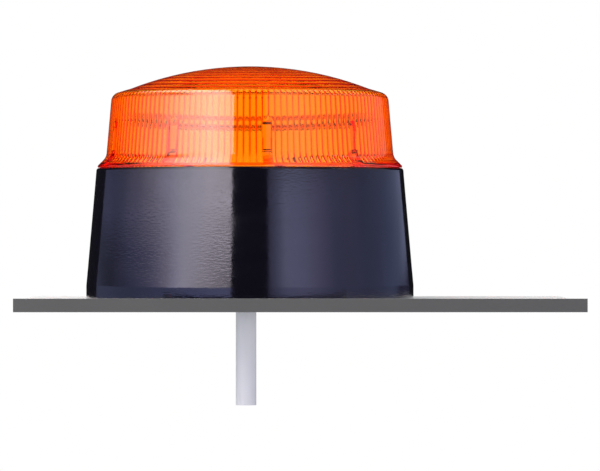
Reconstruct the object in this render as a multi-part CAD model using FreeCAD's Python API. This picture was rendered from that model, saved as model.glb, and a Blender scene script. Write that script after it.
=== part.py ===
import FreeCAD, Part
import math
import os

# Xenon strobe beacon for panel mounting: a tapered black base, an amber twist-off lens and the flash unit inside.
# Millimetres, +Z up. The origin is the centre of the mounting face, and the front of the beacon looks along -Y.

# Base housing
base_radius = 60.0
base_height = 48.0
foot_height = 5.0
foot_round = 0.4
foot_blend = 6.0
rim_round = 1.0
draft_deg = 5.0
base_wall = 3.0
base_floor = 4.0
floor_corner = 2.0
rim_wall = 2.2
recess_radius = 43.0
recess_depth = 1.5
floor_rib_count = 6
floor_rib_width = 2.0
hub_wall = 2.0

# Panel fixing: screw holes through the floor and a flat gasket let into the underside
screw_count = 3
screw_circle_radius = 48.0
screw_hole_radius = 2.6
screw_boss_radius = 5.5
screw_boss_height = 2.0
screw_phase_deg = 30.0
gasket_inner_radius = 53.2
gasket_width = 3.4
gasket_thickness = 1.5
gasket_clearance = 0.2

# Bayonet between lens and base, with its radial seal
seat_gap = 0.25
seal_gap = 2.1
seal_width = 2.4
seal_clearance = 0.15
seal_groove_depth = 0.6
seal_drop = 2.6
seal_chamfer = 0.6
catch_drop = 5.0
catch_thickness = 2.0
catch_clearance = 0.3
lug_count = 3
lug_sweep_deg = 16.0
lug_thickness = 2.1
lug_clearance = 0.4
entry_gap_deg = 24.0
lock_deg = 25.0
stop_clearance_deg = 0.5
stop_sweep_deg = 3.0
spigot_wall = 1.6

# Amber lens
lens_height = 37.05
lens_wall = 2.1
flange_inset = 0.4
flange_edge = 0.6
flange_round = 1.0
lens_step = 3.2
flare_round = 3.0
shoulder_round = 3.5
shoulder_deg = 16.5
dome_edge_radius = 43.6
dome_radius = 120.0
flute_count = 144
flute_depth = 0.5
flute_drop = 1.05
ring_count = 13
ring_pitch = 3.65
ring_depth = 0.5
corner_drop = 2.8
flute_run_out = 0.35
lens_rib_count = 9
lens_rib_phase_deg = -83.0
lens_rib_width = 3.3
lens_rib_depth = 2.2
lens_rib_height = 19.2
lens_rib_taper = 4.0
lens_rib_foot_width = 4.0
lens_rib_foot_depth = 0.6
lens_rib_foot_height = 6.85

# Supply cable, its rubber grommet and its strain relief
entry_x = -1.4
cable_radius = 3.75
cable_hang = 38.9
cable_tail = 1.2
cable_fit = 0.05
grommet_neck_radius = 6.0
grommet_flange_radius = 9.0
grommet_flange = 1.4
grommet_collar = 2.2
grommet_sleeve_radius = 5.6
grommet_sleeve_top_radius = 4.8
grommet_height = 6.0
tie_gap = 0.8
tie_width = 3.0
tie_thickness = 1.2
tie_head = 5.0
tie_head_margin = 0.5
tie_tail = 9.0
core_radius = 1.3
core_bend = 5.0
strand_radius = 0.75
strand_length = 5.0

# Circuit board on three bosses, with spacers that carry the reflector
board_drop = 28.0
board_radius = 42.0
board_thickness = 1.6
board_opening_radius = 6.5
boss_count = 3
boss_circle_radius = 34.0
boss_radius = 4.0
boss_phase_deg = 90.0
stud_radius = 1.45
stud_length = 8.0
stud_clearance = 0.05
spacer_across_flats = 5.5

# Supply terminal
terminal_pitch = 3.8
terminal_y = -13.0
terminal_depth = 8.5
terminal_height = 10.0
terminal_margin = 0.7
terminal_entry_level = 4.6
terminal_entry_radius = 1.5
terminal_well_radius = 1.6
terminal_well_depth = 3.0
terminal_screw_radius = 1.45
terminal_screw_sink = 0.6
terminal_slot_width = 0.5

# Storage capacitor, lying on the board
capacitor_radius = 9.0
capacitor_length = 32.0
capacitor_lead_gap = 1.5
capacitor_y = 6.0
capacitor_groove = 0.5
capacitor_round = 0.8
capacitor_cradle_width = 5.0
capacitor_rise = 1.2
capacitor_fit = 0.05

# Converter transformer: wound bobbin in a ferrite frame
converter_x = -19.0
converter_y = 18.0
converter_length = 20.0
converter_depth = 6.0
converter_height = 17.0
core_leg = 4.5
outer_leg = 2.25
bobbin_stand_off = 1.2
bobbin_flange = 1.2
winding_clearance = 0.2
winding_overhang = 3.8
coil_inset = 0.8
coil_round = 0.8

# Small parts on the board
trigger_x = -20.0
trigger_radius = 5.0
trigger_height = 12.0
trigger_cap_radius = 3.0
trigger_cap_height = 1.2
film_x = 13.0
film_y = -27.0
film_length = 13.0
film_width = 6.0
film_height = 11.0
film_round = 0.8
chip_x = -12.0
chip_y = -22.0
chip_length = 9.4
chip_width = 6.4
chip_height = 3.4
chip_stand_off = 0.5
chip_leg_pitch = 2.54
chip_leg_width = 0.6
sink_x = 3.0
sink_y = 25.0
sink_width = 14.0
sink_height = 16.0
sink_thickness = 1.5
sink_fin_count = 4
sink_fin_depth = 3.0
transistor_width = 10.0
transistor_height = 15.0
transistor_tab = 1.3
transistor_body = 3.2
transistor_body_height = 9.0
axial_body_radius = 1.4
axial_body_length = 6.0
axial_lead_radius = 0.35
axial_span = 10.0
axial_rise = 1.8
axial_pitch = 4.2
axial_count = 2
resistor_x = -12.0
resistor_y = -35.0
diode_x = 14.0
diode_y = -20.0

# Reflector plate above the electronics
reflector_drop = 6.4
reflector_clearance = 0.9
reflector_thickness = 1.6
reflector_lip = 3.0
reflector_slope_radius = 27.0
reflector_deck_radius = 22.0
reflector_deck_rise = 4.0
reflector_round = 1.5
access_notch_radius = 5.5
reflector_screw_head_radius = 2.8
reflector_screw_head = 1.8
reflector_screw_shank_radius = 1.4
reflector_screw_shank = 5.0
tapped_relief = 1.0
reflector_hole_radius = 1.7

# Flash tube, lying across the axis
tube_rise = 16.7
tube_radius = 2.5
tube_bore_radius = 1.7
tube_length = 60.0
tube_end_round = 1.2
electrode_radius = 0.6
electrode_length = 11.0
cathode_radius = 1.3
cathode_length = 4.0
lead_radius = 0.5
lead_reach = 5.0
lead_bend = 3.0
bushing_radius = 2.5
bushing_flange_radius = 3.4
bushing_flange = 1.0
bushing_rise = 5.0
bushing_drop = 2.0
bushing_fit = 0.05
trigger_wire_radius = 0.3
trigger_wire_fit = 0.05
trigger_band_span = 44.0
trigger_band_width = 1.2
trigger_band_thickness = 0.3
trigger_band_fit = 0.1
trigger_lead_radius = 0.9
trigger_hole_clearance = 0.4

# Worked out from the sizes above
draft = math.tan(math.radians(draft_deg))
rim_radius = base_radius - (base_height - foot_height) * draft
bore_radius = rim_radius - rim_wall
spigot_radius = bore_radius - seal_gap
spigot_bore_radius = spigot_radius - spigot_wall
lens_seat = base_height + seat_gap
catch_top = base_height - catch_drop
catch_bottom = catch_top - catch_thickness
lug_top = catch_bottom - catch_clearance
spigot_bottom = lug_top - lug_thickness
flute_bottom = lens_seat - flute_drop
lens_top = lens_seat + lens_height
board_level = base_height - board_drop
board_top = board_level + board_thickness
reflector_seat = base_height - reflector_drop
spacer_length = reflector_seat - board_top
reflector_top = reflector_seat + reflector_thickness
reflector_radius = spigot_bore_radius - reflector_clearance
tube_level = base_height + tube_rise
lead_x = tube_length / 2 + lead_reach
capacitor_x = lead_x - lead_radius - capacitor_lead_gap - capacitor_radius
grommet_bottom = recess_depth - grommet_flange
grommet_top = base_floor + grommet_height
tie_level = grommet_top + tie_gap
cable_end_level = tie_level + tie_width + cable_tail
MARGIN = 1.0


def vec(x, y, z):
    return FreeCAD.Vector(x, y, z)


UP = vec(0, 0, 1)


def polar(radius, angle_deg, z=0.0):
    angle = math.radians(angle_deg)
    return vec(radius * math.cos(angle), radius * math.sin(angle), z)


def rounded_run(points):
    """Edges through (x, y, z, corner radius) points: straight runs joined by tangent arcs."""
    places = [vec(*point[:3]) for point in points]
    edges = []
    start = places[0]
    for index in range(1, len(places)):
        corner = places[index]
        radius = points[index][3]
        if index == len(places) - 1 or radius == 0:
            edges.append(Part.LineSegment(start, corner).toShape())
            start = corner
            continue
        back = (places[index - 1] - corner).normalize()
        ahead = (places[index + 1] - corner).normalize()
        half_angle = back.getAngle(ahead) / 2
        reach = radius / math.tan(half_angle)
        middle = corner + (back + ahead).normalize() * (radius / math.sin(half_angle) - radius)
        arc_start = corner + back * reach
        arc_end = corner + ahead * reach
        edges.append(Part.LineSegment(start, arc_start).toShape())
        edges.append(Part.Arc(arc_start, middle, arc_end).toShape())
        start = arc_end
    return edges


def half_section(points):
    """Open run of (radius, height) or (radius, height, corner radius) points in the XZ plane."""
    return rounded_run([(p[0], 0, p[1], p[2] if len(p) > 2 else 0) for p in points])


def turned_edges(edges, sweep_deg=360.0):
    face = Part.Face(Part.Wire(edges))
    return face.revolve(vec(0, 0, 0), UP, sweep_deg)


def turned(points, sweep_deg=360.0):
    """Solid of revolution about Z from a closed outline of half-section points."""
    return turned_edges(half_section(points + [points[0][:2]]), sweep_deg)


def ring_segment(inner, outer, bottom, top, middle_deg, sweep_deg):
    segment = turned([(inner, bottom), (outer, bottom), (outer, top), (inner, top)], sweep_deg)
    return segment.rotate(vec(0, 0, 0), UP, middle_deg - sweep_deg / 2)


def cylinder(radius, bottom, top, x=0.0, y=0.0):
    return Part.makeCylinder(radius, top - bottom, vec(x, y, bottom), UP)


def block(x0, x1, y0, y1, z0, z1):
    return Part.makeBox(x1 - x0, y1 - y0, z1 - z0, vec(x0, y0, z0))


def rod(points, radius):
    """Round bar along (x, y, z, corner radius) points."""
    edges = rounded_run(points)
    start = edges[0].Vertexes[0].Point
    along = edges[0].tangentAt(edges[0].FirstParameter)
    section = Part.Wire(Part.Circle(start, along, radius).toShape())
    return Part.Wire(edges).makePipeShell([section], True, False)


def around(count, radius, phase_deg):
    """Points evenly spaced on a circle about the axis."""
    return [polar(radius, phase_deg + 360.0 * index / count) for index in range(count)]


def base_outer_radius(z):
    return base_radius - max(0.0, z - foot_height) * draft


def lens_outer_radius(z):
    return rim_radius - lens_step - (z - base_height) * draft


def dome_height(radius):
    """Outside of the lens top: a shallow dome, then a flatter shoulder."""
    bounded = min(radius, dome_edge_radius)
    height = lens_top - dome_radius + math.sqrt(dome_radius ** 2 - bounded ** 2)
    return height - (radius - bounded) * math.tan(math.radians(shoulder_deg))


def lug_angles():
    return [lens_rib_phase_deg + 360.0 * index / lug_count for index in range(lug_count)]


def bayonet_catches():
    """Inward hooks that the lens lugs turn under, clockwise, each with a stop at its far end."""
    outer = bore_radius + rim_wall / 2
    inner = spigot_radius + catch_clearance
    near = entry_gap_deg / 2
    stop = lug_sweep_deg / 2 + lock_deg + stop_clearance_deg
    far = stop + stop_sweep_deg
    pieces = []
    for angle in lug_angles():
        pieces.append(ring_segment(inner, outer, catch_bottom, catch_top, angle - (near + far) / 2, far - near))
        pieces.append(ring_segment(inner, outer, spigot_bottom, catch_bottom, angle - (stop + far) / 2, far - stop))
    return pieces


def underside_recess():
    """Hollow under the floor, with stiffening ribs and a ring around the cable entry left standing."""
    hub = grommet_flange_radius + gasket_clearance
    recess = cylinder(recess_radius, -MARGIN, recess_depth)
    ring = cylinder(hub + hub_wall, -MARGIN, recess_depth, entry_x)
    ring = ring.cut(cylinder(hub, -MARGIN, recess_depth, entry_x))
    ribs = []
    for index in range(floor_rib_count):
        rib = block(0, recess_radius + MARGIN, -floor_rib_width / 2, floor_rib_width / 2, -MARGIN, recess_depth)
        rib.rotate(vec(0, 0, 0), UP, 360.0 * index / floor_rib_count)
        ribs.append(rib.cut(cylinder(hub + hub_wall / 2, -MARGIN, recess_depth, entry_x)))
    return recess.cut([ring] + ribs)


def base_housing():
    body = turned([
        (0, 0),
        (base_radius, 0, foot_round),
        (base_radius, foot_height, foot_blend),
        (rim_radius, base_height, rim_round),
        (0, base_height),
    ])
    cavity = turned([
        (0, base_floor),
        (base_outer_radius(base_floor) - base_wall, base_floor, floor_corner),
        (base_outer_radius(spigot_bottom) - base_wall, spigot_bottom),
        (bore_radius, catch_bottom),
        (bore_radius, base_height + MARGIN),
        (0, base_height + MARGIN),
    ])
    bosses = [cylinder(boss_radius, base_floor / 2, board_level, p.x, p.y)
              for p in around(boss_count, boss_circle_radius, boss_phase_deg)]
    bosses += [cylinder(screw_boss_radius, base_floor / 2, base_floor + screw_boss_height, p.x, p.y)
               for p in around(screw_count, screw_circle_radius, screw_phase_deg)]
    holes = [cylinder(stud_radius + stud_clearance, board_level - stud_length - MARGIN, board_level + MARGIN, p.x, p.y)
             for p in around(boss_count, boss_circle_radius, boss_phase_deg)]
    holes += [cylinder(screw_hole_radius, -MARGIN, base_floor + screw_boss_height + MARGIN, p.x, p.y)
              for p in around(screw_count, screw_circle_radius, screw_phase_deg)]
    holes.append(cylinder(grommet_neck_radius, -MARGIN, base_floor + MARGIN, entry_x))
    holes.append(underside_recess())
    groove_inner = gasket_inner_radius - gasket_clearance
    groove_outer = gasket_inner_radius + gasket_width + gasket_clearance
    groove = turned([(groove_inner, -MARGIN), (groove_outer, -MARGIN),
                     (groove_outer, gasket_thickness), (groove_inner, gasket_thickness)])
    holes.append(groove)
    body = body.cut(cavity).fuse(bosses + bayonet_catches()).cut(holes)
    return body.removeSplitter()


def panel_gasket():
    outer = gasket_inner_radius + gasket_width
    return turned([(gasket_inner_radius, 0), (outer, 0), (outer, gasket_thickness),
                   (gasket_inner_radius, gasket_thickness)])


def cable_grommet():
    bore = cable_radius + cable_fit
    sleeve = turned([
        (bore, grommet_bottom),
        (grommet_flange_radius, grommet_bottom),
        (grommet_flange_radius, recess_depth),
        (grommet_neck_radius, recess_depth),
        (grommet_neck_radius, base_floor),
        (grommet_flange_radius, base_floor),
        (grommet_flange_radius, base_floor + grommet_collar / 2),
        (grommet_sleeve_radius, base_floor + grommet_collar),
        (grommet_sleeve_top_radius, grommet_top),
        (bore, grommet_top),
    ])
    return sleeve.translate(vec(entry_x, 0, 0))


def cable_tie():
    """Nylon tie drawn tight round the cable above the grommet, with its head and a cut tail."""
    inner = cable_radius + cable_fit
    outer = inner + tie_thickness
    top = tie_level + tie_width
    band = turned([(inner, tie_level), (outer, tie_level), (outer, top), (inner, top)])
    head = block(inner + tie_thickness / 2, inner + tie_head, -tie_head / 2, tie_head / 2,
                 tie_level - tie_head_margin, top + tie_head_margin)
    tail = block(inner + tie_head / 2, inner + tie_head / 2 + tie_thickness, tie_head / 2, tie_tail,
                 tie_level, top)
    return band.fuse([head, tail]).removeSplitter().translate(vec(entry_x, 0, 0))


def supply_cable():
    return cylinder(cable_radius, -cable_hang, cable_end_level, entry_x)


def core_offsets():
    return [entry_x - terminal_pitch / 2, entry_x + terminal_pitch / 2]


def cable_core(x):
    """Insulated core from the cut sheath up through the board opening and across to the terminal."""
    level = board_top + terminal_entry_level
    return rod([(x, 0, cable_end_level, 0), (x, 0, level, core_bend), (x, terminal_y, level, 0)], core_radius)


def core_ends():
    level = board_top + terminal_entry_level
    return [Part.makeCylinder(strand_radius, strand_length, vec(x, terminal_y, level), vec(0, -1, 0))
            for x in core_offsets()]


def terminal_block():
    half = terminal_pitch + terminal_margin
    back = terminal_y - terminal_depth
    top = board_top + terminal_height
    body = block(entry_x - half, entry_x + half, back, terminal_y, board_top, top)
    chamfer = terminal_depth / 4
    body = body.makeChamfer(chamfer, [edge for edge in body.Edges
                                      if abs(edge.CenterOfMass.z - top) < MARGIN / 10
                                      and abs(edge.CenterOfMass.y - terminal_y) < MARGIN / 10])
    cuts = []
    for x in core_offsets():
        cuts.append(Part.makeCylinder(terminal_entry_radius, strand_length + MARGIN,
                                      vec(x, terminal_y + MARGIN / 2, board_top + terminal_entry_level),
                                      vec(0, -1, 0)))
        cuts.append(cylinder(terminal_well_radius, top - terminal_well_depth, top + MARGIN,
                             x, terminal_y - terminal_depth / 2 - chamfer / 2))
    return body.cut(cuts)


def terminal_screws():
    screws = []
    bottom = board_top + terminal_height - terminal_well_depth
    top = board_top + terminal_height - terminal_screw_sink
    y = terminal_y - terminal_depth * 5 / 8
    for x in core_offsets():
        slot = block(x - terminal_screw_radius, x + terminal_screw_radius,
                     y - terminal_slot_width / 2, y + terminal_slot_width / 2, (bottom + top) / 2, top + MARGIN)
        screws.append(cylinder(terminal_screw_radius, bottom, top, x, y).cut(slot))
    return screws


def circuit_board():
    board = cylinder(board_radius, board_level, board_top)
    holes = [cylinder(stud_radius + stud_clearance, board_level - MARGIN, board_top + MARGIN, p.x, p.y)
             for p in around(boss_count, boss_circle_radius, boss_phase_deg)]
    holes.append(cylinder(board_opening_radius, board_level - MARGIN, board_top + MARGIN, entry_x))
    return board.cut(holes)


def board_spacers():
    """Hexagonal spacers whose studs go through the board into the bosses, tapped at the top."""
    corner = spacer_across_flats / math.sqrt(3)
    spacers = []
    for p in around(boss_count, boss_circle_radius, boss_phase_deg):
        hexagon = Part.makePolygon([p + polar(corner, 60.0 * k, board_top) for k in range(7)])
        body = Part.Face(hexagon).extrude(vec(0, 0, spacer_length))
        stud = cylinder(stud_radius, board_level - stud_length, board_top, p.x, p.y)
        tapped = cylinder(reflector_screw_shank_radius + stud_clearance,
                          reflector_seat - reflector_screw_shank - tapped_relief, reflector_seat, p.x, p.y)
        spacers.append(body.fuse(stud).cut(tapped))
    return spacers


def storage_capacitor():
    """Electrolytic can lying along Y, with the rolled groove near its sealed end and a moulded cradle."""
    half = capacitor_length / 2
    groove = capacitor_radius - capacitor_groove
    groove_at = half - capacitor_length / 8
    can = turned([
        (0, -half),
        (capacitor_radius, -half, capacitor_round),
        (capacitor_radius, groove_at - capacitor_groove * 2),
        (groove, groove_at),
        (capacitor_radius, groove_at + capacitor_groove * 2),
        (capacitor_radius, half, capacitor_round),
        (0, half),
    ])
    can.rotate(vec(0, 0, 0), vec(1, 0, 0), 90)
    return can.translate(vec(capacitor_x, capacitor_y, board_top + capacitor_radius + capacitor_rise))


def capacitor_cradle():
    """Saddle glued to the board, which the can lies in."""
    half = capacitor_radius * 3 / 4
    level = board_top + capacitor_radius + capacitor_rise
    saddle = block(capacitor_x - half, capacitor_x + half, capacitor_y - capacitor_cradle_width / 2,
                   capacitor_y + capacitor_cradle_width / 2, board_top, level - capacitor_radius / 2)
    can = Part.makeCylinder(capacitor_radius + capacitor_fit, capacitor_length,
                            vec(capacitor_x, capacitor_y - capacitor_length / 2, level), vec(0, 1, 0))
    return saddle.cut(can)


def converter_window():
    """Width of each opening in the ferrite frame, beside its middle leg."""
    return (converter_length - 2 * outer_leg - core_leg) / 2


def converter_core():
    """Ferrite frame: outer legs, yokes and the middle leg that goes through the bobbin."""
    x0 = converter_x - converter_length / 2
    x1 = converter_x + converter_length / 2
    y0 = converter_y - converter_depth / 2
    y1 = converter_y + converter_depth / 2
    bottom = board_top + bobbin_stand_off
    top = bottom + converter_height
    window = converter_window()
    openings = [block(x, x + window, y0 - MARGIN, y1 + MARGIN, bottom + outer_leg, top - outer_leg)
                for x in (x0 + outer_leg, x1 - outer_leg - window)]
    return block(x0, x1, y0, y1, bottom, top).cut(openings)


def converter_winding():
    """Bobbin with its taped winding round the middle leg, standing on two feet on the board."""
    bottom = board_top + bobbin_stand_off + outer_leg + winding_clearance
    top = board_top + bobbin_stand_off + converter_height - outer_leg - winding_clearance
    hole_x = core_leg / 2 + winding_clearance
    hole_y = converter_depth / 2 + winding_clearance
    reach_x = core_leg / 2 + converter_window() - winding_clearance
    reach_y = hole_y + winding_overhang

    def centred(half_x, half_y, z0, z1):
        return block(converter_x - half_x, converter_x + half_x, converter_y - half_y, converter_y + half_y, z0, z1)

    coil = centred(reach_x - coil_inset, reach_y - coil_inset, bottom, top)
    uprights = [edge for edge in coil.Edges if abs(edge.tangentAt(edge.FirstParameter).z) > 0.5]
    coil = coil.makeFillet(coil_round, uprights)
    flanges = [centred(reach_x, reach_y, z, z + bobbin_flange) for z in (bottom, top - bobbin_flange)]
    feet = centred(reach_x, reach_y, board_top, bottom).cut(centred(reach_x, hole_y, board_top, bottom))
    return coil.fuse(flanges + [feet]).cut(centred(hole_x, hole_y, board_top, top)).removeSplitter()


def trigger_transformer():
    """Potted pulse transformer: a round pot with the high-voltage post on top."""
    top = board_top + trigger_height
    pot = turned([(0, board_top), (trigger_radius, board_top), (trigger_radius, top, film_round),
                  (trigger_cap_radius, top), (trigger_cap_radius, top + trigger_cap_height),
                  (0, top + trigger_cap_height)])
    return pot.translate(vec(trigger_x, 0, 0))


def trigger_capacitor():
    body = block(film_x - film_length / 2, film_x + film_length / 2, film_y - film_width / 2,
                 film_y + film_width / 2, board_top, board_top + film_height)
    return body.makeFillet(film_round, [edge for edge in body.Edges
                                        if edge.CenterOfMass.z > board_top + film_height / 4])


def control_chip():
    """Dual in-line package on its legs."""
    level = board_top + chip_stand_off
    body = block(chip_x - chip_length / 2, chip_x + chip_length / 2, chip_y - chip_width / 2,
                 chip_y + chip_width / 2, level, level + chip_height)
    legs = []
    for column in range(4):
        x = chip_x + (column - 1.5) * chip_leg_pitch
        for side in (-1, 1):
            y = chip_y + side * (chip_width / 2 + chip_leg_width / 2)
            legs.append(block(x - chip_leg_width / 2, x + chip_leg_width / 2, y - chip_leg_width / 2,
                              y + chip_leg_width / 2, board_top, level + chip_height / 2))
    return body.fuse(legs).removeSplitter()


def heat_sink():
    """Upright aluminium plate with fins on its back, standing on the board."""
    x0 = sink_x - sink_width / 2
    plate = block(x0, x0 + sink_width, sink_y, sink_y + sink_thickness, board_top, board_top + sink_height)
    pitch = (sink_width - sink_thickness) / (sink_fin_count - 1)
    fins = [block(x0 + k * pitch, x0 + k * pitch + sink_thickness, sink_y, sink_y + sink_thickness + sink_fin_depth,
                  board_top, board_top + sink_height) for k in range(sink_fin_count)]
    return plate.fuse(fins).removeSplitter()


def switching_transistor():
    """Power transistor flat against the heat sink, its tab up and its three legs on the board."""
    level = board_top + transistor_height - transistor_body_height - terminal_margin
    x0 = sink_x - transistor_width / 2
    tab = block(x0, x0 + transistor_width, sink_y - transistor_tab, sink_y, level,
                board_top + transistor_height)
    tab = tab.cut(Part.makeCylinder(transistor_tab, transistor_body,
                                    vec(sink_x, sink_y + MARGIN, board_top + transistor_height - transistor_body),
                                    vec(0, -1, 0)))
    body = block(x0, x0 + transistor_width, sink_y - transistor_tab - transistor_body, sink_y - transistor_tab,
                 level, level + transistor_body_height)
    leg_y = sink_y - transistor_tab - transistor_body / 2
    legs = [block(sink_x + k * chip_leg_pitch - chip_leg_width / 2, sink_x + k * chip_leg_pitch + chip_leg_width / 2,
                  leg_y - chip_leg_width / 2, leg_y + chip_leg_width / 2, board_top, level) for k in (-1, 0, 1)]
    return tab.fuse([body] + legs).removeSplitter()


def axial_part(x, y):
    """Resistor or diode: a small round body on a lead bent down to the board at both ends."""
    half = axial_span / 2
    level = board_top + axial_rise
    bend = axial_lead_radius * 3
    lead = rod([(-half, 0, board_top, 0), (-half, 0, level, bend), (half, 0, level, bend),
                (half, 0, board_top, 0)], axial_lead_radius)
    body = Part.makeCylinder(axial_body_radius, axial_body_length, vec(-axial_body_length / 2, 0, level),
                             vec(1, 0, 0))
    return body.fuse(lead).removeSplitter().translate(vec(x, y, 0))


def axial_row(x, y, count):
    """Like parts side by side."""
    return [axial_part(x, y + k * axial_pitch) for k in range(count)]


def reflector_plate():
    """White moulded plate over the electronics, raised in the middle, with a lip turned down at its rim."""
    t = reflector_thickness
    deck = reflector_top + reflector_deck_rise
    plate = turned([
        (0, deck - t),
        (reflector_deck_radius - t / 2, deck - t),
        (reflector_slope_radius - t / 2, reflector_seat),
        (reflector_radius - t, reflector_seat),
        (reflector_radius - t, reflector_top - reflector_lip),
        (reflector_radius, reflector_top - reflector_lip),
        (reflector_radius, reflector_top, reflector_round),
        (reflector_slope_radius, reflector_top, reflector_round),
        (reflector_deck_radius, deck, reflector_round),
        (0, deck),
    ])
    cuts = [cylinder(access_notch_radius, reflector_top - reflector_lip - MARGIN, deck, p.x, p.y)
            for p in around(screw_count, screw_circle_radius, screw_phase_deg)]
    cuts += [cylinder(reflector_hole_radius, reflector_seat - MARGIN, reflector_top + MARGIN, p.x, p.y)
             for p in around(boss_count, boss_circle_radius, boss_phase_deg)]
    cuts += [cylinder(bushing_radius + bushing_fit, reflector_seat - MARGIN, reflector_top + MARGIN, x)
             for x in (-lead_x, lead_x)]
    cuts.append(cylinder(trigger_lead_radius + trigger_hole_clearance, reflector_seat - MARGIN, deck + MARGIN, trigger_x))
    return plate.cut(cuts)


def reflector_screws():
    """Pan-head screws down into the spacers."""
    screws = []
    for p in around(boss_count, boss_circle_radius, boss_phase_deg):
        tip = reflector_seat - reflector_screw_shank
        head_top = reflector_top + reflector_screw_head
        screw = turned([
            (0, tip),
            (reflector_screw_shank_radius, tip),
            (reflector_screw_shank_radius, reflector_top),
            (reflector_screw_head_radius, reflector_top),
            (reflector_screw_head_radius, head_top, reflector_screw_head / 2),
            (0, head_top),
        ])
        screws.append(screw.translate(p))
    return screws


def flash_tube():
    """Clear glass tube lying along X, its ends drawn in round the electrode stems."""
    half = tube_length / 2
    shoulder = half - tube_end_round * 2
    stem = electrode_radius + bushing_fit
    glass = turned([
        (stem, -half),
        (tube_radius, -half, tube_end_round),
        (tube_radius, half, tube_end_round),
        (stem, half),
        (stem, shoulder),
        (tube_bore_radius, shoulder - tube_end_round),
        (tube_bore_radius, tube_end_round - shoulder),
        (stem, -shoulder),
    ])
    glass.rotate(vec(0, 0, 0), vec(0, 1, 0), 90)
    return glass.translate(vec(0, 0, tube_level))


def tube_electrodes():
    """Tungsten stems through the tube ends, the cathode with its sintered pellet, each ending at its lead."""
    half = tube_length / 2
    electrodes = []
    for side in (-1, 1):
        stem = [(0, half - electrode_length), (electrode_radius, half - electrode_length), (electrode_radius, half),
                (0, half)]
        electrode = turned(stem)
        if side == 1:
            pellet = half - electrode_length
            electrode = electrode.fuse(turned([(0, pellet), (cathode_radius, pellet),
                                               (cathode_radius, pellet + cathode_length),
                                               (0, pellet + cathode_length)])).removeSplitter()
        electrode.rotate(vec(0, 0, 0), vec(0, 1, 0), 90 * side)
        electrodes.append(electrode.translate(vec(0, 0, tube_level)))
    return electrodes


def tube_leads():
    """Stiff wires that carry the tube: out of its ends, then straight down to the board."""
    return [rod([(side * tube_length / 2, 0, tube_level, 0), (side * lead_x, 0, tube_level, lead_bend),
                 (side * lead_x, 0, board_top, 0)], lead_radius) for side in (-1, 1)]


def lead_bushings():
    """Ceramic bushes in the reflector that hold the tube leads."""
    bore = lead_radius + bushing_fit
    bushings = []
    for side in (-1, 1):
        bush = turned([
            (bore, reflector_seat - bushing_drop),
            (bushing_radius, reflector_seat - bushing_drop),
            (bushing_radius, reflector_top),
            (bushing_flange_radius, reflector_top),
            (bushing_flange_radius, reflector_top + bushing_flange),
            (bushing_radius, reflector_top + bushing_rise),
            (bore, reflector_top + bushing_rise),
        ])
        bushings.append(bush.translate(vec(side * lead_x, 0, 0)))
    return bushings


def trigger_wire():
    """Bare wire along the underside of the tube, welded to a thin band round the glass at each end."""
    half = trigger_band_span / 2
    reach = half + trigger_band_width
    centre = tube_radius + trigger_wire_fit + trigger_wire_radius
    wire = Part.makeCylinder(trigger_wire_radius, 2 * reach, vec(-reach, 0, tube_level - centre), vec(1, 0, 0))
    inner = tube_radius + trigger_band_fit
    outer = inner + trigger_band_thickness
    bands = []
    for side in (-1, 1):
        band = turned([(inner, -trigger_band_width / 2), (outer, -trigger_band_width / 2),
                       (outer, trigger_band_width / 2), (inner, trigger_band_width / 2)])
        band.rotate(vec(0, 0, 0), vec(0, 1, 0), 90)
        bands.append(band.translate(vec(side * half, 0, tube_level)))
    return wire.fuse(bands).removeSplitter()


def trigger_lead():
    """Insulated lead from the trigger transformer straight up to the trigger wire."""
    top = tube_level - tube_radius - trigger_wire_fit - trigger_wire_radius * 2
    return cylinder(trigger_lead_radius, board_top + trigger_height + trigger_cap_height, top, trigger_x)


def fluted_core():
    """Solid that fills the lens inside its vertical flutes, tapered like the wall."""
    sections = []
    for z in (flute_bottom, lens_top):
        valley = lens_outer_radius(z) - lens_wall
        step = 360.0 / flute_count
        arcs = [Part.Arc(polar(valley, k * step, z), polar(valley - flute_depth, (k + 0.5) * step, z),
                         polar(valley, (k + 1) * step, z)).toShape() for k in range(flute_count)]
        sections.append(Part.Wire(arcs))
    return Part.makeLoft(sections, True, True)


def lens_hollow():
    """Inside of the lens: prism rings under the dome, a sloped corner and the fluted wall."""
    ceiling = [(0, dome_height(ring_pitch) - lens_wall)]
    for k in range(1, ring_count + 1):
        if k > 1:
            apex = ring_pitch * (k - 0.5)
            ceiling.append((apex, dome_height(apex) - lens_wall - ring_depth))
        ceiling.append((ring_pitch * k, dome_height(ring_pitch * k) - lens_wall))
    corner = ceiling[-1][1] - corner_drop
    wall = [(lens_outer_radius(z) - lens_wall + flute_run_out, z) for z in (corner, flute_bottom)]
    envelope = turned(ceiling + wall + [(0, flute_bottom)])
    return envelope.common(fluted_core())


def lens_rib(angle_deg):
    """Upright rib on the inside of the lens wall, drafted like it, on a thicker foot and tapered at its top."""
    def inner(z):
        return lens_outer_radius(z) - lens_wall - lens_rib_depth

    foot = lens_outer_radius(flute_bottom) - lens_wall
    top = flute_bottom + lens_rib_height
    full = top - lens_rib_taper
    pad_top = flute_bottom + lens_rib_foot_height
    outline = Part.makePolygon([vec(inner(lens_seat), 0, lens_seat), vec(foot, 0, lens_seat),
                                vec(lens_outer_radius(top) - lens_wall / 2, 0, top),
                                vec(inner(top) + lens_rib_depth, 0, top), vec(inner(full), 0, full),
                                vec(inner(lens_seat), 0, lens_seat)])
    rib = Part.Face(outline).extrude(vec(0, lens_rib_width, 0)).translate(vec(0, -lens_rib_width / 2, 0))
    pad = block(inner(pad_top) - lens_rib_foot_depth, foot, -lens_rib_foot_width / 2, lens_rib_foot_width / 2,
                lens_seat, pad_top)
    return rib.fuse(pad).removeSplitter().rotate(vec(0, 0, 0), UP, angle_deg)


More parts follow.
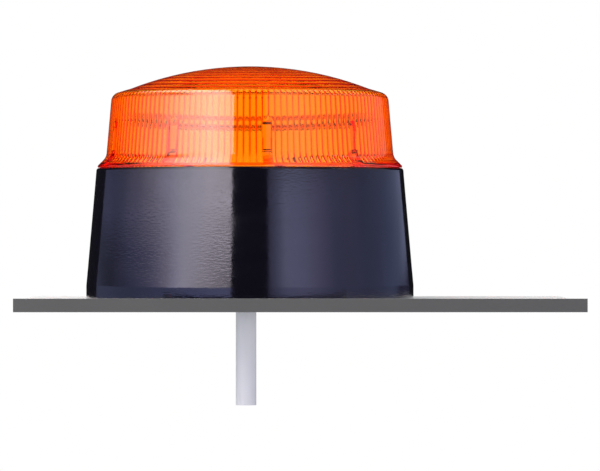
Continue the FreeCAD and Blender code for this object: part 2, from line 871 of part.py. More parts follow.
def lens_dome():
    edge_top = lens_seat + flange_edge
    flare_top = edge_top + (rim_radius - flange_inset - lens_outer_radius(edge_top)) / (1 - draft)
    shoulder = math.tan(math.radians(shoulder_deg))
    edge_height = dome_height(dome_edge_radius)
    corner_z = (edge_height - (lens_outer_radius(base_height) + base_height * draft - dome_edge_radius) * shoulder)
    corner_z /= 1 - draft * shoulder
    groove_middle = base_height - seal_drop
    groove_half = seal_width / 2 + seal_clearance
    groove_radius = spigot_radius - seal_groove_depth
    side = half_section([
        (0, lens_seat),
        (spigot_bore_radius, lens_seat),
        (spigot_bore_radius, spigot_bottom),
        (spigot_radius, spigot_bottom),
        (spigot_radius, groove_middle - groove_half),
        (groove_radius, groove_middle - groove_half),
        (groove_radius, groove_middle + groove_half),
        (spigot_radius, groove_middle + groove_half),
        (spigot_radius, lens_seat),
        (rim_radius - flange_inset, lens_seat),
        (rim_radius - flange_inset, edge_top, flange_round),
        (lens_outer_radius(flare_top), flare_top, flare_round),
        (lens_outer_radius(corner_z), corner_z, shoulder_round),
        (dome_edge_radius, edge_height),
    ])
    dome = Part.Arc(vec(dome_edge_radius, 0, edge_height), vec(dome_edge_radius / 2, 0, dome_height(dome_edge_radius / 2)),
                    vec(0, 0, lens_top)).toShape()
    axis = Part.LineSegment(vec(0, 0, lens_top), vec(0, 0, lens_seat)).toShape()
    solid = turned_edges(side + [dome, axis])
    lens = solid.cut(lens_hollow())
    ribs = [lens_rib(lens_rib_phase_deg + 360.0 * k / lens_rib_count) for k in range(lens_rib_count)]
    lug_inner = spigot_bore_radius + spigot_wall / 2
    lugs = [ring_segment(lug_inner, bore_radius - lug_clearance, spigot_bottom, lug_top, angle, lug_sweep_deg)
            for angle in lug_angles()]
    return lens.fuse(ribs + lugs).removeSplitter()


def lens_seal():
    """Rubber ring round the lens spigot, pressed to the size of its groove."""
    inner = spigot_radius - seal_groove_depth + seal_clearance
    outer = bore_radius - seal_clearance
    bottom = base_height - seal_drop - seal_width / 2
    top = bottom + seal_width
    return turned([(inner, bottom), (outer - seal_chamfer, bottom), (outer, bottom + seal_chamfer),
                   (outer, top - seal_chamfer), (outer - seal_chamfer, top), (inner, top)])


def nodes():
    left, right = core_offsets()
    return {
        "base_housing": base_housing(),
        "panel_gasket": panel_gasket(),
        "cable_grommet": cable_grommet(),
        "cable_tie": cable_tie(),
        "supply_cable": supply_cable(),
        "core_brown": cable_core(left),
        "core_blue": cable_core(right),
        "core_ends": core_ends(),
        "circuit_board": circuit_board(),
        "board_spacers": board_spacers(),
        "terminal_block": terminal_block(),
        "terminal_screws": terminal_screws(),
        "storage_capacitor": storage_capacitor(),
        "capacitor_cradle": capacitor_cradle(),
        "converter_core": converter_core(),
        "converter_winding": converter_winding(),
        "trigger_transformer": trigger_transformer(),
        "trigger_capacitor": trigger_capacitor(),
        "control_chip": control_chip(),
        "heat_sink": heat_sink(),
        "switching_transistor": switching_transistor(),
        "resistors": axial_row(resistor_x, resistor_y, axial_count),
        "diodes": axial_row(diode_x, diode_y, axial_count),
        "reflector_plate": reflector_plate(),
        "reflector_screws": reflector_screws(),
        "flash_tube": flash_tube(),
        "tube_electrodes": tube_electrodes(),
        "tube_leads": tube_leads(),
        "lead_bushings": lead_bushings(),
        "trigger_wire": trigger_wire(),
        "trigger_lead": trigger_lead(),
        "lens_dome": lens_dome(),
        "lens_seal": lens_seal(),
    }


os.makedirs("parts", exist_ok=True)
for name, shape in nodes().items():
    solid = Part.makeCompound(shape) if isinstance(shape, list) else shape
    solid.exportStep(os.path.join("parts", name + ".step"))
    print(name, "valid" if solid.isValid() else "NOT VALID", len(solid.Solids), "solids", round(solid.Volume, 1), "mm3")
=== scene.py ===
# Xenon strobe beacon: black tapered base, amber fluted lens, flash unit inside, grey cable below the panel.
import math

import bmesh
import bpy
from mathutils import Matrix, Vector


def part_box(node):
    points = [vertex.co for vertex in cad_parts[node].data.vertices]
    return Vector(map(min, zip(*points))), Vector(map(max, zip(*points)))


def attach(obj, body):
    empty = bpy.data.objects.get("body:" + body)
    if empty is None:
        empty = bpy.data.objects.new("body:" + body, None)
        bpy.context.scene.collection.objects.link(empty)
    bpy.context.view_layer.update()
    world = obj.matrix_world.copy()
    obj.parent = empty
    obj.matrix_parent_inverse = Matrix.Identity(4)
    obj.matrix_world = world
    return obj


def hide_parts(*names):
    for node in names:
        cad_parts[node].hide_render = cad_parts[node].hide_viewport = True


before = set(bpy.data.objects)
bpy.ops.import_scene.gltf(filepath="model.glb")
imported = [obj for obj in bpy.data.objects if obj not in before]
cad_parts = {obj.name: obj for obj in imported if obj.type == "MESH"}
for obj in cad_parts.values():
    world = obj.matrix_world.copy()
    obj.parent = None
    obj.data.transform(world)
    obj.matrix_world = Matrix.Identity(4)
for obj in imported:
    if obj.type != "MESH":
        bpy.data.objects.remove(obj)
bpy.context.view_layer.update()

# Camera
# A long lens, far back and a little above the panel, because the photograph's perspective is nearly flat.
# It looks level, and its frame is shifted instead of the camera being tilted.
MM = 0.001
PHOTO_WIDTH = 600
PHOTO_HEIGHT = 471
PIXEL = 0.36697 * MM
axis_column = 249.9
horizon_row = 225.0
panel_row = 299.0
stand_off = 4400 * PIXEL
scene = bpy.context.scene


def placed(name, data):
    """New object in the scene, at the origin."""
    piece = bpy.data.objects.new(name, data)
    scene.collection.objects.link(piece)
    return piece


camera_data = bpy.data.cameras.new("camera")
camera_data.sensor_width = 36.0
camera_data.lens = camera_data.sensor_width * stand_off / (PHOTO_WIDTH * PIXEL)
camera_data.shift_x = (PHOTO_WIDTH / 2 - axis_column) / PHOTO_WIDTH
camera_data.shift_y = (horizon_row - PHOTO_HEIGHT / 2) / PHOTO_WIDTH
camera_data.clip_end = 50.0
camera = placed("camera", camera_data)
camera.location = (0, -stand_off, (panel_row - horizon_row) * PIXEL)
camera.rotation_euler = (math.radians(90), 0, 0)
scene.camera = camera
scene.view_settings.view_transform = "Standard"


# Supply cable
# Two-core flex in a grey PVC sheath, let in through the underside and cut square below the panel.
# The sheath is extruded, so its faint marks run lengthwise. The cores show at the cut.
def wire(tree, node, **inputs):
    """Sets a node's inputs to values, or links them to other nodes' sockets. i0 is the first input."""
    for key, value in inputs.items():
        by_place = key[0] == "i" and key[1:].isdigit()
        socket = node.inputs[int(key[1:]) if by_place else key.replace("_", " ")]
        if isinstance(value, bpy.types.NodeSocket):
            tree.links.new(value, socket)
        else:
            socket.default_value = value
    return node


def add(tree, kind, settings=None, **inputs):
    """New node with its settings and inputs."""
    node = tree.nodes.new(kind)
    for key, value in (settings or {}).items():
        setattr(node, key, value)
    return wire(tree, node, **inputs)


def sums(tree):
    """Maths nodes of one tree, by operation."""
    def maths(operation, a, b=0.0, c=0.0, clamp=False):
        settings = {"operation": operation, "use_clamp": clamp}
        return add(tree, "ShaderNodeMath", settings, i0=a, i1=b, i2=c).outputs[0]
    return maths


def mapped(tree, value, low, high, to_low=0.0, to_high=1.0, curve="LINEAR"):
    """Value spread from one range to another and held at its ends."""
    ends = {"From Min": low, "From Max": high, "To Min": to_low, "To Max": to_high}
    return add(tree, "ShaderNodeMapRange", {"interpolation_type": curve}, Value=value, **ends).outputs[0]


def blend(tree, share, first, second, kind="RGBA"):
    """Colour or number between two others."""
    at, result = (6, 2) if kind == "RGBA" else (2, 0)
    ends = {f"i{at}": first, f"i{at + 1}": second}
    return add(tree, "ShaderNodeMix", {"data_type": kind}, i0=share, **ends).outputs[result]


def object_place(tree):
    return add(tree, "ShaderNodeTexCoord").outputs["Object"]


noise_range = (0.3, 0.7)


def moulded_grain_group():
    """Clouded colour, uneven gloss and a fine skin, stretched along Z for drawn or extruded pieces."""
    group = bpy.data.node_groups.new("moulded_grain", "ShaderNodeTree")
    for name, kind, value in (
            ("Colour", "Color", (0.5, 0.5, 0.5, 1)), ("Cloud Colour", "Color", (0.4, 0.4, 0.4, 1)),
            ("Cloud Size", "Float", 60.0), ("Grain Size", "Float", 900.0), ("Gloss Low", "Float", 0.3),
            ("Gloss High", "Float", 0.5), ("Stretch", "Vector", (1, 1, 1))):
        socket = group.interface.new_socket(name, in_out="INPUT", socket_type="NodeSocket" + kind)
        socket.default_value = value
    for name, kind in (("Colour", "Color"), ("Roughness", "Float"), ("Height", "Float")):
        group.interface.new_socket(name, in_out="OUTPUT", socket_type="NodeSocket" + kind)
    given = group.nodes.new("NodeGroupInput").outputs
    place = add(group, "ShaderNodeVectorMath", {"operation": "MULTIPLY"}, i0=object_place(group),
                i1=given["Stretch"]).outputs[0]
    cloud = add(group, "ShaderNodeTexNoise", Vector=place, Scale=given["Cloud Size"], Detail=4.0,
                Roughness=0.6).outputs["Fac"]
    grain = add(group, "ShaderNodeTexNoise", Vector=place, Scale=given["Grain Size"], Detail=2.0)
    wire(group, group.nodes.new("NodeGroupOutput"),
         Colour=blend(group, cloud, given["Colour"], given["Cloud Colour"]),
         Roughness=mapped(group, cloud, *noise_range, given["Gloss Low"], given["Gloss High"]),
         Height=grain.outputs["Fac"])
    return group


moulded_grain = moulded_grain_group()


def plain_material(name):
    material = bpy.data.materials.new(name)
    material.use_nodes = True
    return material, material.node_tree, material.node_tree.nodes["Principled BSDF"]


def grained(name, colour, cloud, gloss, cloud_size=60.0, grain_size=900.0, bump=0.1, stretch=(1, 1, 1),
            **fixed):
    """Material with the moulded grain, its bump and fixed values on the shader's own sockets."""
    material, tree, skin = plain_material(name)
    grain = add(tree, "ShaderNodeGroup", {"node_tree": moulded_grain}, Colour=(*colour, 1),
                Cloud_Colour=(*cloud, 1), Gloss_Low=gloss[0], Gloss_High=gloss[1], Cloud_Size=cloud_size,
                Grain_Size=grain_size, Stretch=stretch).outputs
    relief = add(tree, "ShaderNodeBump", Strength=bump, Distance=0.1 * MM, Height=grain["Height"])
    wire(tree, skin, Base_Color=grain["Colour"], Roughness=grain["Roughness"],
         Normal=relief.outputs["Normal"], **fixed)
    return material


def canvas(material):
    """What painted marks need: the tree, its maths, and X, Y, Z and the flat place in millimetres."""
    tree = material.node_tree
    scaled = add(tree, "ShaderNodeVectorMath", {"operation": "SCALE"}, i0=object_place(tree), Scale=1 / MM)
    place = add(tree, "ShaderNodeSeparateXYZ", i0=scaled.outputs[0]).outputs
    flat = add(tree, "ShaderNodeCombineXYZ", X=place["X"], Y=place["Y"]).outputs[0]
    return tree, sums(tree), place["X"], place["Y"], place["Z"], flat


def disc(tree, flat, centre, radius, soft=0.08):
    """Mask: 1 inside a circle on the flat place."""
    off = add(tree, "ShaderNodeVectorMath", {"operation": "DISTANCE"}, i0=flat, i1=(*centre, 0))
    return sums(tree)("MULTIPLY_ADD", off.outputs["Value"], -1 / soft, radius / soft + 0.5, clamp=True)


def any_of(tree, masks):
    whole = masks[0]
    for mask in masks[1:]:
        whole = sums(tree)("MAXIMUM", whole, mask)
    return whole


def over(material, mask, colour, gloss=None, metal=None):
    """Lays another finish over a material where the mask is 1."""
    tree = material.node_tree
    skin = tree.nodes["Principled BSDF"]
    for name, kind, value in (("Base Color", "RGBA", (*colour, 1)), ("Roughness", "FLOAT", gloss),
                              ("Metallic", "FLOAT", metal)):
        if value is None:
            continue
        socket = skin.inputs[name]
        under = socket.links[0].from_socket if socket.is_linked else socket.default_value
        tree.links.new(blend(tree, mask, under, value, kind), socket)


cable_axis = -1.4 * MM
cable_radius = 3.75 * MM
cable_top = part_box("supply_cable")[1][2]
cable_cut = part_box("supply_cable")[0][2]
cut_depth = 0.02
core_offset = 1.9
core_radius = 1.3
strand_radius = 0.24
strand_circle = 0.52
outer_strands = 6
brown_pvc = (0.20, 0.08, 0.035)
blue_pvc = (0.03, 0.15, 0.50)
copper = (0.80, 0.42, 0.26)


def show_cut_cores(material):
    """Brown and blue cores with seven copper strands each, in the sheath's cut end."""
    tree, maths, x, y, z, flat = canvas(material)
    at_cut = maths("LESS_THAN", z, cable_cut / MM + cut_depth)
    for side, colour in ((-1, brown_pvc), (1, blue_pvc)):
        middle = cable_axis / MM + side * core_offset
        strands = [disc(tree, flat, (middle, 0.0), strand_radius)]
        for k in range(outer_strands):
            turn = math.tau * k / outer_strands
            spot = (middle + strand_circle * math.cos(turn), strand_circle * math.sin(turn))
            strands.append(disc(tree, flat, spot, strand_radius))
        over(material, maths("MULTIPLY", at_cut, disc(tree, flat, (middle, 0.0), core_radius)), colour)
        over(material, maths("MULTIPLY", at_cut, any_of(tree, strands)), copper, gloss=0.35, metal=1.0)


sheath_grey = grained("sheath_grey", (0.655, 0.66, 0.67), (0.585, 0.59, 0.60), (0.38, 0.5), cloud_size=120.0,
                      grain_size=1400.0, bump=0.15, stretch=(1, 1, 0.08))
show_cut_cores(sheath_grey)
route = [cable_top, 4 * MM, -8 * MM, -20 * MM, -30 * MM, cable_cut]
cable_curve = bpy.data.curves.new("supply_flex", "CURVE")
cable_curve.dimensions = "3D"
cable_curve.bevel_depth = cable_radius
cable_curve.bevel_resolution = 10
cable_curve.resolution_u = 8
cable_curve.use_fill_caps = True
spline = cable_curve.splines.new("NURBS")
spline.points.add(len(route) - 1)
for point, z in zip(spline.points, route):
    point.co = (cable_axis, 0, z, 1)
spline.order_u = 3
spline.use_endpoint_u = True
cable_curve.materials.append(sheath_grey)
supply_flex = placed("supply_flex", cable_curve)
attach(supply_flex, "base")
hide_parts("supply_cable")

# Panel
# The flat white sheet that the beacon is screwed to, with a hole for the cable. It isn't part of the beacon.
# It is seen edge on, and a low lip along its front hides its top. Its front faces are painted dark grey as
# shade.
panel_left = -82.7 * MM
panel_right = 117.9 * MM
panel_front = -78 * MM
panel_back = 63 * MM
panel_thickness = 3.3 * MM
panel_lip = 1.45 * MM
panel_lip_depth = 1.0 * MM
panel_hole = 10 * MM
hole_steps = 48
facing_front = 0.9


def finished(mesh, name):
    """Turns an edited mesh into mesh data, with its faces pointing outwards."""
    bmesh.ops.recalc_face_normals(mesh, faces=mesh.faces)
    data = bpy.data.meshes.new(name)
    mesh.to_mesh(data)
    mesh.free()
    return data


def panel_mesh():
    """Slab with a round hole for the cable and a raised edge along its front."""
    mesh = bmesh.new()
    corners = [(panel_left, panel_front), (panel_right, panel_front), (panel_right, panel_back),
               (panel_left, panel_back)]
    turns = [math.tau * k / hole_steps for k in range(hole_steps)]
    hole = [(cable_axis + panel_hole * math.cos(turn), panel_hole * math.sin(turn)) for turn in turns]
    levels = []
    for z in (0.0, -panel_thickness):
        rings = [[mesh.verts.new((x, y, z)) for x, y in outline] for outline in (corners, hole)]
        edges = [mesh.edges.new((ring[k - 1], ring[k])) for ring in rings for k in range(len(ring))]
        bmesh.ops.triangle_fill(mesh, edges=edges, use_beauty=True)
        levels.append(rings)
    for upper, lower in zip(*levels):
        for k in range(len(upper)):
            mesh.faces.new((upper[k - 1], upper[k], lower[k], lower[k - 1]))
    for vert in bmesh.ops.create_cube(mesh, size=1.0)["verts"]:
        vert.co = (panel_left if vert.co.x < 0 else panel_right,
                   panel_front - (panel_lip_depth if vert.co.y < 0 else 0.0),
                   -panel_thickness if vert.co.z < 0 else panel_lip)
    return finished(mesh, "panel")


panel = placed("panel", panel_mesh())
# The dark grey copy of the white goes on the faces towards the front: painted shade on the panel's edge.
for name, colour, cloud in (("panel_white", (0.96, 0.96, 0.96), (0.94, 0.94, 0.94)),
                            ("panel_edge_painted_shade", (0.092, 0.093, 0.090), (0.082, 0.083, 0.080))):
    matt = grained(name, colour, cloud, (0.9, 1.0), cloud_size=40.0, Specular_IOR_Level=0.0)
    panel.data.materials.append(matt)
for face in panel.data.polygons:
    face.material_index = 1 if abs(face.normal.y) > facing_front else 0


# Base housing
# Deep cup moulded in black ABS with a polished outside, which takes sharp reflections with a faint mottle.
# The board stands on bosses inside it, and its rim carries the lens.
def dress(material, *nodes):
    """Gives CAD nodes their finish."""
    for node in nodes:
        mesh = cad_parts[node].data
        mesh.materials.clear()
        mesh.materials.append(material)


housing_black = grained("housing_black", (0.0022, 0.0020, 0.0042), (0.0030, 0.0028, 0.0052), (0.05, 0.13),
                        cloud_size=45.0, grain_size=520.0, bump=0.17, stretch=(1, 1, 3.2),
                        Specular_Tint=(0.93, 0.92, 1.06, 1))
dress(housing_black, "base_housing")

# Panel gasket, cable grommet and seal
# The gasket closes the housing's foot on the panel, the grommet lines the cable's hole, and the seal lies in
# the lens's groove. All are moulded black rubber, matt and slightly dusty.
rubber_black = grained("rubber_black", (0.02, 0.02, 0.021), (0.035, 0.034, 0.033), (0.55, 0.75),
                       grain_size=1600.0, bump=0.3)
dress(rubber_black, "panel_gasket", "cable_grommet", "lens_seal")

# Cable tie and capacitor cradle
# A strap round the sheath above the grommet, and a saddle under the capacitor.
# Both are moulded in natural nylon, a little translucent and waxy.
nylon_natural = grained("nylon_natural", (0.78, 0.76, 0.70), (0.70, 0.68, 0.61), (0.35, 0.5),
                        Subsurface_Weight=0.2)
dress(nylon_natural, "cable_tie", "capacitor_cradle")

# Cable cores
# Brown and blue PVC insulation, bent up from the cut sheath and over to the terminal.
# The bared ends are twisted copper strands, pinched under the terminal's screws.
strand_pitch = 0.55
groove_shade_half = 0.12
groove_shade_soft = 0.2


def near(tree, value, middle, reach, soft=0.08):
    """Mask: 1 within reach of the middle value, 0 beyond it, with a soft edge."""
    maths = sums(tree)
    off = maths("ABSOLUTE", maths("SUBTRACT", value, middle))
    return maths("MULTIPLY_ADD", off, -1 / soft, reach / soft + 0.5, clamp=True)


def strand_finish():
    """Copper with painted shade in the slanting grooves of twisted strands."""
    material = grained("copper_strands", copper, (0.62, 0.30, 0.18), (0.25, 0.45), cloud_size=300.0,
                       Metallic=1.0)
    tree, maths, x, y, z, flat = canvas(material)
    slant = maths("ADD", maths("ADD", x, y), z)
    turn = maths("FRACT", maths("DIVIDE", slant, strand_pitch))
    # Painted shade: the grooves between the strands are dark copper lines, without relief.
    groove = near(tree, turn, 0.5, groove_shade_half, groove_shade_soft)
    over(material, groove, (0.22, 0.09, 0.05))
    return material


dress(grained("core_brown", brown_pvc, (0.15, 0.06, 0.03), (0.35, 0.5), grain_size=1500.0), "core_brown")
dress(grained("core_blue", blue_pvc, (0.025, 0.12, 0.42), (0.35, 0.5), grain_size=1500.0), "core_blue")
dress(strand_finish(), "core_ends")

# Circuit board
# Round glass-fibre laminate under green solder mask, held on the bosses by the spacers. Copper tracks show
# paler through the mask, tinned pads take the legs of the parts, and white print outlines where they stand.
track_pitch = 2.54
track_width = 0.9
track_run = 11.0
track_share = 0.5
pad_radius = 1.0
print_width = 0.3
print_gap = 0.6
leg_pitch = 2.54
chip_place = (-12.0, -22.0)
chip_legs_aside = 4
chip_leg_reach = 3.5
axial_leg_reach = 5.0
resistor_places = [(-12.0, -35.0), (-12.0, -30.8)]
diode_places = [(14.0, -20.0), (14.0, -15.8)]
transistor_legs = (3.0, 22.1)
lead_span = 35.0
tin_grey = (0.70, 0.70, 0.68)
outlined = ("terminal_block", "storage_capacitor", "converter_winding", "trigger_capacitor", "control_chip",
            "heat_sink")


def tinned(material, mask):
    over(material, mask, tin_grey, gloss=0.3, metal=1.0)


def pad_places():
    """Where the legs of the chip, the round parts, the transistor and the tube's wires meet the board."""
    first_leg = chip_place[0] - (chip_legs_aside - 1) / 2 * leg_pitch
    places = [(first_leg + k * leg_pitch, chip_place[1] + side * chip_leg_reach)
              for k in range(chip_legs_aside) for side in (-1, 1)]
    places += [(x + side * axial_leg_reach, y) for x, y in resistor_places + diode_places for side in (-1, 1)]
    places += [(transistor_legs[0] + k * leg_pitch, transistor_legs[1]) for k in (-1, 0, 1)]
    return places + [(side * lead_span, 0.0) for side in (-1, 1)]


def board_finish():
    """Green mask with tracks under it, printed outlines, tinned pads and the bare laminate at the edge."""
    material = grained("board_green", (0.02, 0.20, 0.09), (0.03, 0.24, 0.11), (0.25, 0.4), cloud_size=200.0,
                       grain_size=2500.0)
    tree, maths, x, y, z, flat = canvas(material)
    for layer, (along, across) in enumerate(((x, y), (y, x))):
        lane = maths("DIVIDE", across, track_pitch)
        cell = add(tree, "ShaderNodeCombineXYZ", X=maths("FLOOR", lane),
                   Y=maths("FLOOR", maths("DIVIDE", along, track_run)), Z=float(layer))
        drawn = add(tree, "ShaderNodeTexWhiteNoise", {"noise_dimensions": "3D"}, Vector=cell.outputs[0])
        laid = maths("GREATER_THAN", drawn.outputs["Value"], track_share)
        track = near(tree, maths("FRACT", lane), 0.5, track_width / track_pitch / 2, 0.03)
        over(material, maths("MULTIPLY", track, laid), (0.07, 0.38, 0.17))
    outlines = []
    for node in outlined:
        low, high = (Vector(corner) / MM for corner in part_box(node))
        middle = (low + high) / 2
        half = (high - low) / 2
        inner, outer = (maths("MULTIPLY", near(tree, x, middle.x, half.x + gap),
                              near(tree, y, middle.y, half.y + gap))
                        for gap in (print_gap, print_gap + print_width))
        outlines.append(maths("SUBTRACT", outer, inner))
    over(material, any_of(tree, outlines), (0.80, 0.80, 0.77))
    tinned(material, any_of(tree, [disc(tree, flat, place, pad_radius) for place in pad_places()]))
    normal = add(tree, "ShaderNodeTexCoord").outputs["Normal"]
    upright = maths("ABSOLUTE", add(tree, "ShaderNodeSeparateXYZ", i0=normal).outputs["Z"])
    over(material, maths("LESS_THAN", upright, 0.5), (0.52, 0.48, 0.28))
    return material


dress(board_finish(), "circuit_board")

# Spacers and screws
# Hexagonal spacers carry the board and the reflector, which small screws hold down. Two more screws close the
# terminal. All are turned steel, zinc plated and passivated.
zinc_plated = grained("zinc_plated", (0.66, 0.66, 0.63), (0.55, 0.55, 0.54), (0.22, 0.4), cloud_size=180.0,
                      grain_size=2200.0, Metallic=1.0)
dress(zinc_plated, "board_spacers", "terminal_screws", "reflector_screws")

# Terminal block
# A green polyamide moulding on the board, with wells for its two screws and round entries for the cores.
# It is slightly mottled, as filled polyamide is.
terminal_green = grained("terminal_green", (0.05, 0.34, 0.13), (0.04, 0.28, 0.10), (0.4, 0.55),
                         cloud_size=400.0, bump=0.2)
dress(terminal_green, "terminal_block")

# Storage capacitor
# An aluminium can in a dark shrink sleeve, which leaves its scored end bare. A grey stripe with dashes marks
# the negative side, and a rubber bung closes the other end.
can_axis = (24.0, 31.8)
sleeve_opening = 7.2
sleeve_dark = (0.02, 0.025, 0.08)
stripe_x = 19.0
stripe_half = 1.7
dash_pitch = 5.0
dash_half_length = 0.2
dash_half_width = 0.35
score_shade_half = 0.15
end_depth = 0.1


def capacitor_finish():
    material = grained("sleeve_dark", sleeve_dark, (0.025, 0.03, 0.10), (0.18, 0.3))
    tree, maths, x, y, z, flat = canvas(material)
    upper = maths("GREATER_THAN", z, can_axis[1])
    over(material, maths("MULTIPLY", upper, near(tree, x, stripe_x, stripe_half)), (0.50, 0.52, 0.56))
    dash = near(tree, maths("FRACT", maths("DIVIDE", y, dash_pitch)), 0.5, dash_half_length, 0.02)
    dash = maths("MULTIPLY", dash, near(tree, x, stripe_x, dash_half_width))
    over(material, maths("MULTIPLY", upper, dash), sleeve_dark)
    low, high = (corner[1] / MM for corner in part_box("storage_capacitor"))
    face = add(tree, "ShaderNodeCombineXYZ", X=x, Y=z).outputs[0]
    opening = disc(tree, face, can_axis, sleeve_opening)
    bare_end = maths("MULTIPLY", opening, maths("GREATER_THAN", y, high - end_depth))
    over(material, bare_end, (0.74, 0.74, 0.75), gloss=0.35, metal=1.0)
    # Painted shade: the scores across the bare end are dark grey lines, without relief.
    score = any_of(tree, [near(tree, x, can_axis[0], score_shade_half), near(tree, z, can_axis[1], score_shade_half)])
    over(material, maths("MULTIPLY", bare_end, score), (0.30, 0.30, 0.31))
    bung = maths("MULTIPLY", opening, maths("LESS_THAN", y, low + end_depth))
    over(material, bung, (0.03, 0.03, 0.03), gloss=0.7)
    return material


dress(capacitor_finish(), "storage_capacitor")

# Converter transformer
# A sintered ferrite frame of two halves, glued half way up, round a black bobbin.
# The winding on the bobbin is wrapped in yellow polyester tape, whose turns show as faint edges.
frame_joint = 31.3
joint_half = 0.12
tape_low = 26.5
tape_high = 36.1
tape_turn = 2.4
tape_edge_half = 0.03
tape_edge_soft = 0.04


def ferrite_finish():
    material = grained("ferrite_grey", (0.06, 0.06, 0.065), (0.09, 0.09, 0.095), (0.5, 0.7),
                       grain_size=2500.0, bump=0.3)
    tree, maths, x, y, z, flat = canvas(material)
    over(material, near(tree, z, frame_joint, joint_half), (0.20, 0.13, 0.05), gloss=0.25)
    return material


def winding_finish():
    material = grained("tape_yellow", (0.80, 0.52, 0.05), (0.66, 0.40, 0.03), (0.3, 0.45), cloud_size=150.0,
                       stretch=(1, 1, 4))
    tree, maths, x, y, z, flat = canvas(material)
    turn = maths("FRACT", maths("DIVIDE", z, tape_turn))
    over(material, near(tree, turn, 0.5, tape_edge_half, tape_edge_soft), (0.46, 0.27, 0.02))
    tape = near(tree, z, (tape_low + tape_high) / 2, (tape_high - tape_low) / 2)
    over(material, maths("SUBTRACT", 1.0, tape), (0.03, 0.03, 0.032), gloss=0.5)
    return material


dress(ferrite_finish(), "converter_core")
dress(winding_finish(), "converter_winding")

# Potted and packaged parts
# Trigger transformer, control chip, switching transistor and diodes, in black epoxy with a fine matt skin.
# Legs and the transistor's tab are tinned. The chip has a dimple at its first leg, the diodes a pale ring.
chip_half_width = 3.2
chip_dimple = (-15.3, -23.9)
dimple_radius = 0.5
transistor_foot = 26.9
transistor_back = 23.7
axial_half = 3.0
diode_ring = 16.2
ring_half = 0.4
metal_edge = 0.02


def epoxy_finish(name):
    return grained(name, (0.025, 0.025, 0.026), (0.035, 0.035, 0.036), (0.45, 0.65), grain_size=2600.0,
                   bump=0.25)


def chip_finish():
    material = epoxy_finish("chip_epoxy")
    tree, maths, x, y, z, flat = canvas(material)
    over(material, disc(tree, flat, chip_dimple, dimple_radius), (0.075, 0.075, 0.075), gloss=0.3)
    tinned(material, maths("SUBTRACT", 1.0, near(tree, y, chip_place[1], chip_half_width, metal_edge)))
    return material


def transistor_finish():
    material = epoxy_finish("transistor_epoxy")
    tree, maths, x, y, z, flat = canvas(material)
    tinned(material, maths("GREATER_THAN", y, transistor_back))
    tinned(material, maths("LESS_THAN", z, transistor_foot - metal_edge))
    return material


def on_axial_wire(material, middle, rings, half):
    """Painted rings (place, colour) round a small body along X, and tinned wire beyond both its ends."""
    tree, maths, x, y, z, flat = canvas(material)
    for place, colour in rings:
        over(material, near(tree, x, place, half), colour)
    tinned(material, maths("SUBTRACT", 1.0, near(tree, x, middle, axial_half, metal_edge)))


diode_epoxy = epoxy_finish("diode_epoxy")
on_axial_wire(diode_epoxy, diode_places[0][0], [(diode_ring, (0.62, 0.62, 0.60))], ring_half)
dress(epoxy_finish("potting_epoxy"), "trigger_transformer")
dress(chip_finish(), "control_chip")
dress(transistor_finish(), "switching_transistor")
dress(diode_epoxy, "diodes")

# Trigger capacitor, heat sink and resistors
# The capacitor is a wound film block dipped in red lacquer, and the sink a sawn length of drawn aluminium.
# The resistors are lacquered tan, with four painted rings each, on tinned wire.
value_rings = [(-14.3, (0.16, 0.06, 0.02)), (-13.2, (0.02, 0.02, 0.02)), (-12.1, (0.70, 0.20, 0.02)),
               (-9.9, (0.52, 0.38, 0.10))]
value_ring_half = 0.32
film_red = grained("film_red", (0.40, 0.05, 0.03), (0.33, 0.04, 0.025), (0.15, 0.3), cloud_size=250.0,
                   bump=0.2)
sink_aluminium = grained("sink_aluminium", (0.72, 0.72, 0.73), (0.64, 0.64, 0.65), (0.3, 0.45),
                         stretch=(1, 1, 0.1), Metallic=1.0)
resistor_tan = grained("resistor_tan", (0.62, 0.47, 0.28), (0.55, 0.41, 0.24), (0.3, 0.45))
on_axial_wire(resistor_tan, resistor_places[0][0], value_rings, value_ring_half)
dress(film_red, "trigger_capacitor")
dress(sink_aluminium, "heat_sink")
dress(resistor_tan, "resistors")

# Reflector plate
# A white moulding that covers the electronics and throws the flash upwards, screwed to the spacers.
# Its skin is glossy, with a faint flow mottle.
reflector_white = grained("reflector_white", (0.55, 0.55, 0.54), (0.50, 0.50, 0.49), (0.2, 0.35))
dress(reflector_white, "reflector_plate")

# Flash tube
# Clear hard-glass tube with tungsten electrodes, carried on stiff nickel wires in ceramic bushes. Bands of
# painted shade run along its top and bottom, and the trigger wire round it and a silicone lead start the
# flash.
tube_low, tube_high = (Vector(corner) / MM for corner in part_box("flash_tube"))
tube_radius = (tube_high.z - tube_low.z) / 2
tube_level = (tube_high.z + tube_low.z) / 2
tube_half = (tube_high.x - tube_low.x) / 2
tube_bore = 1.35
tube_stem = 0.65
tube_end_round = 1.2
tube_steps = 64
tube_crease = 40.0
deposit_reach = 9.0
deposit_fade = 4.0
tube_shade_band_rise = 1.15
tube_shade_band_soft = 0.3
tube_shade_band_length = 54.0
tube_shade_band_fade = 1.0


def rounded(points, steps=6):
    """Half-section through (r, z, corner radius) points, with the corners turned into arcs."""
    done = []
    for k, (r, z, radius) in enumerate(points):
        here = Vector((r, z))
        if radius == 0 or k in (0, len(points) - 1):
            done.append((r, z))
            continue
        back = (Vector(points[k - 1][:2]) - here).normalized()
        ahead = (Vector(points[k + 1][:2]) - here).normalized()
        half = back.angle(ahead) / 2
        centre = here + (back + ahead).normalized() * (radius / math.sin(half))
        start = here + back * (radius / math.tan(half)) - centre
        end = here + ahead * (radius / math.tan(half)) - centre
        for s in range(steps + 1):
            turned = start.lerp(end, s / steps).normalized() * radius
            done.append(tuple(centre + turned))
    return done


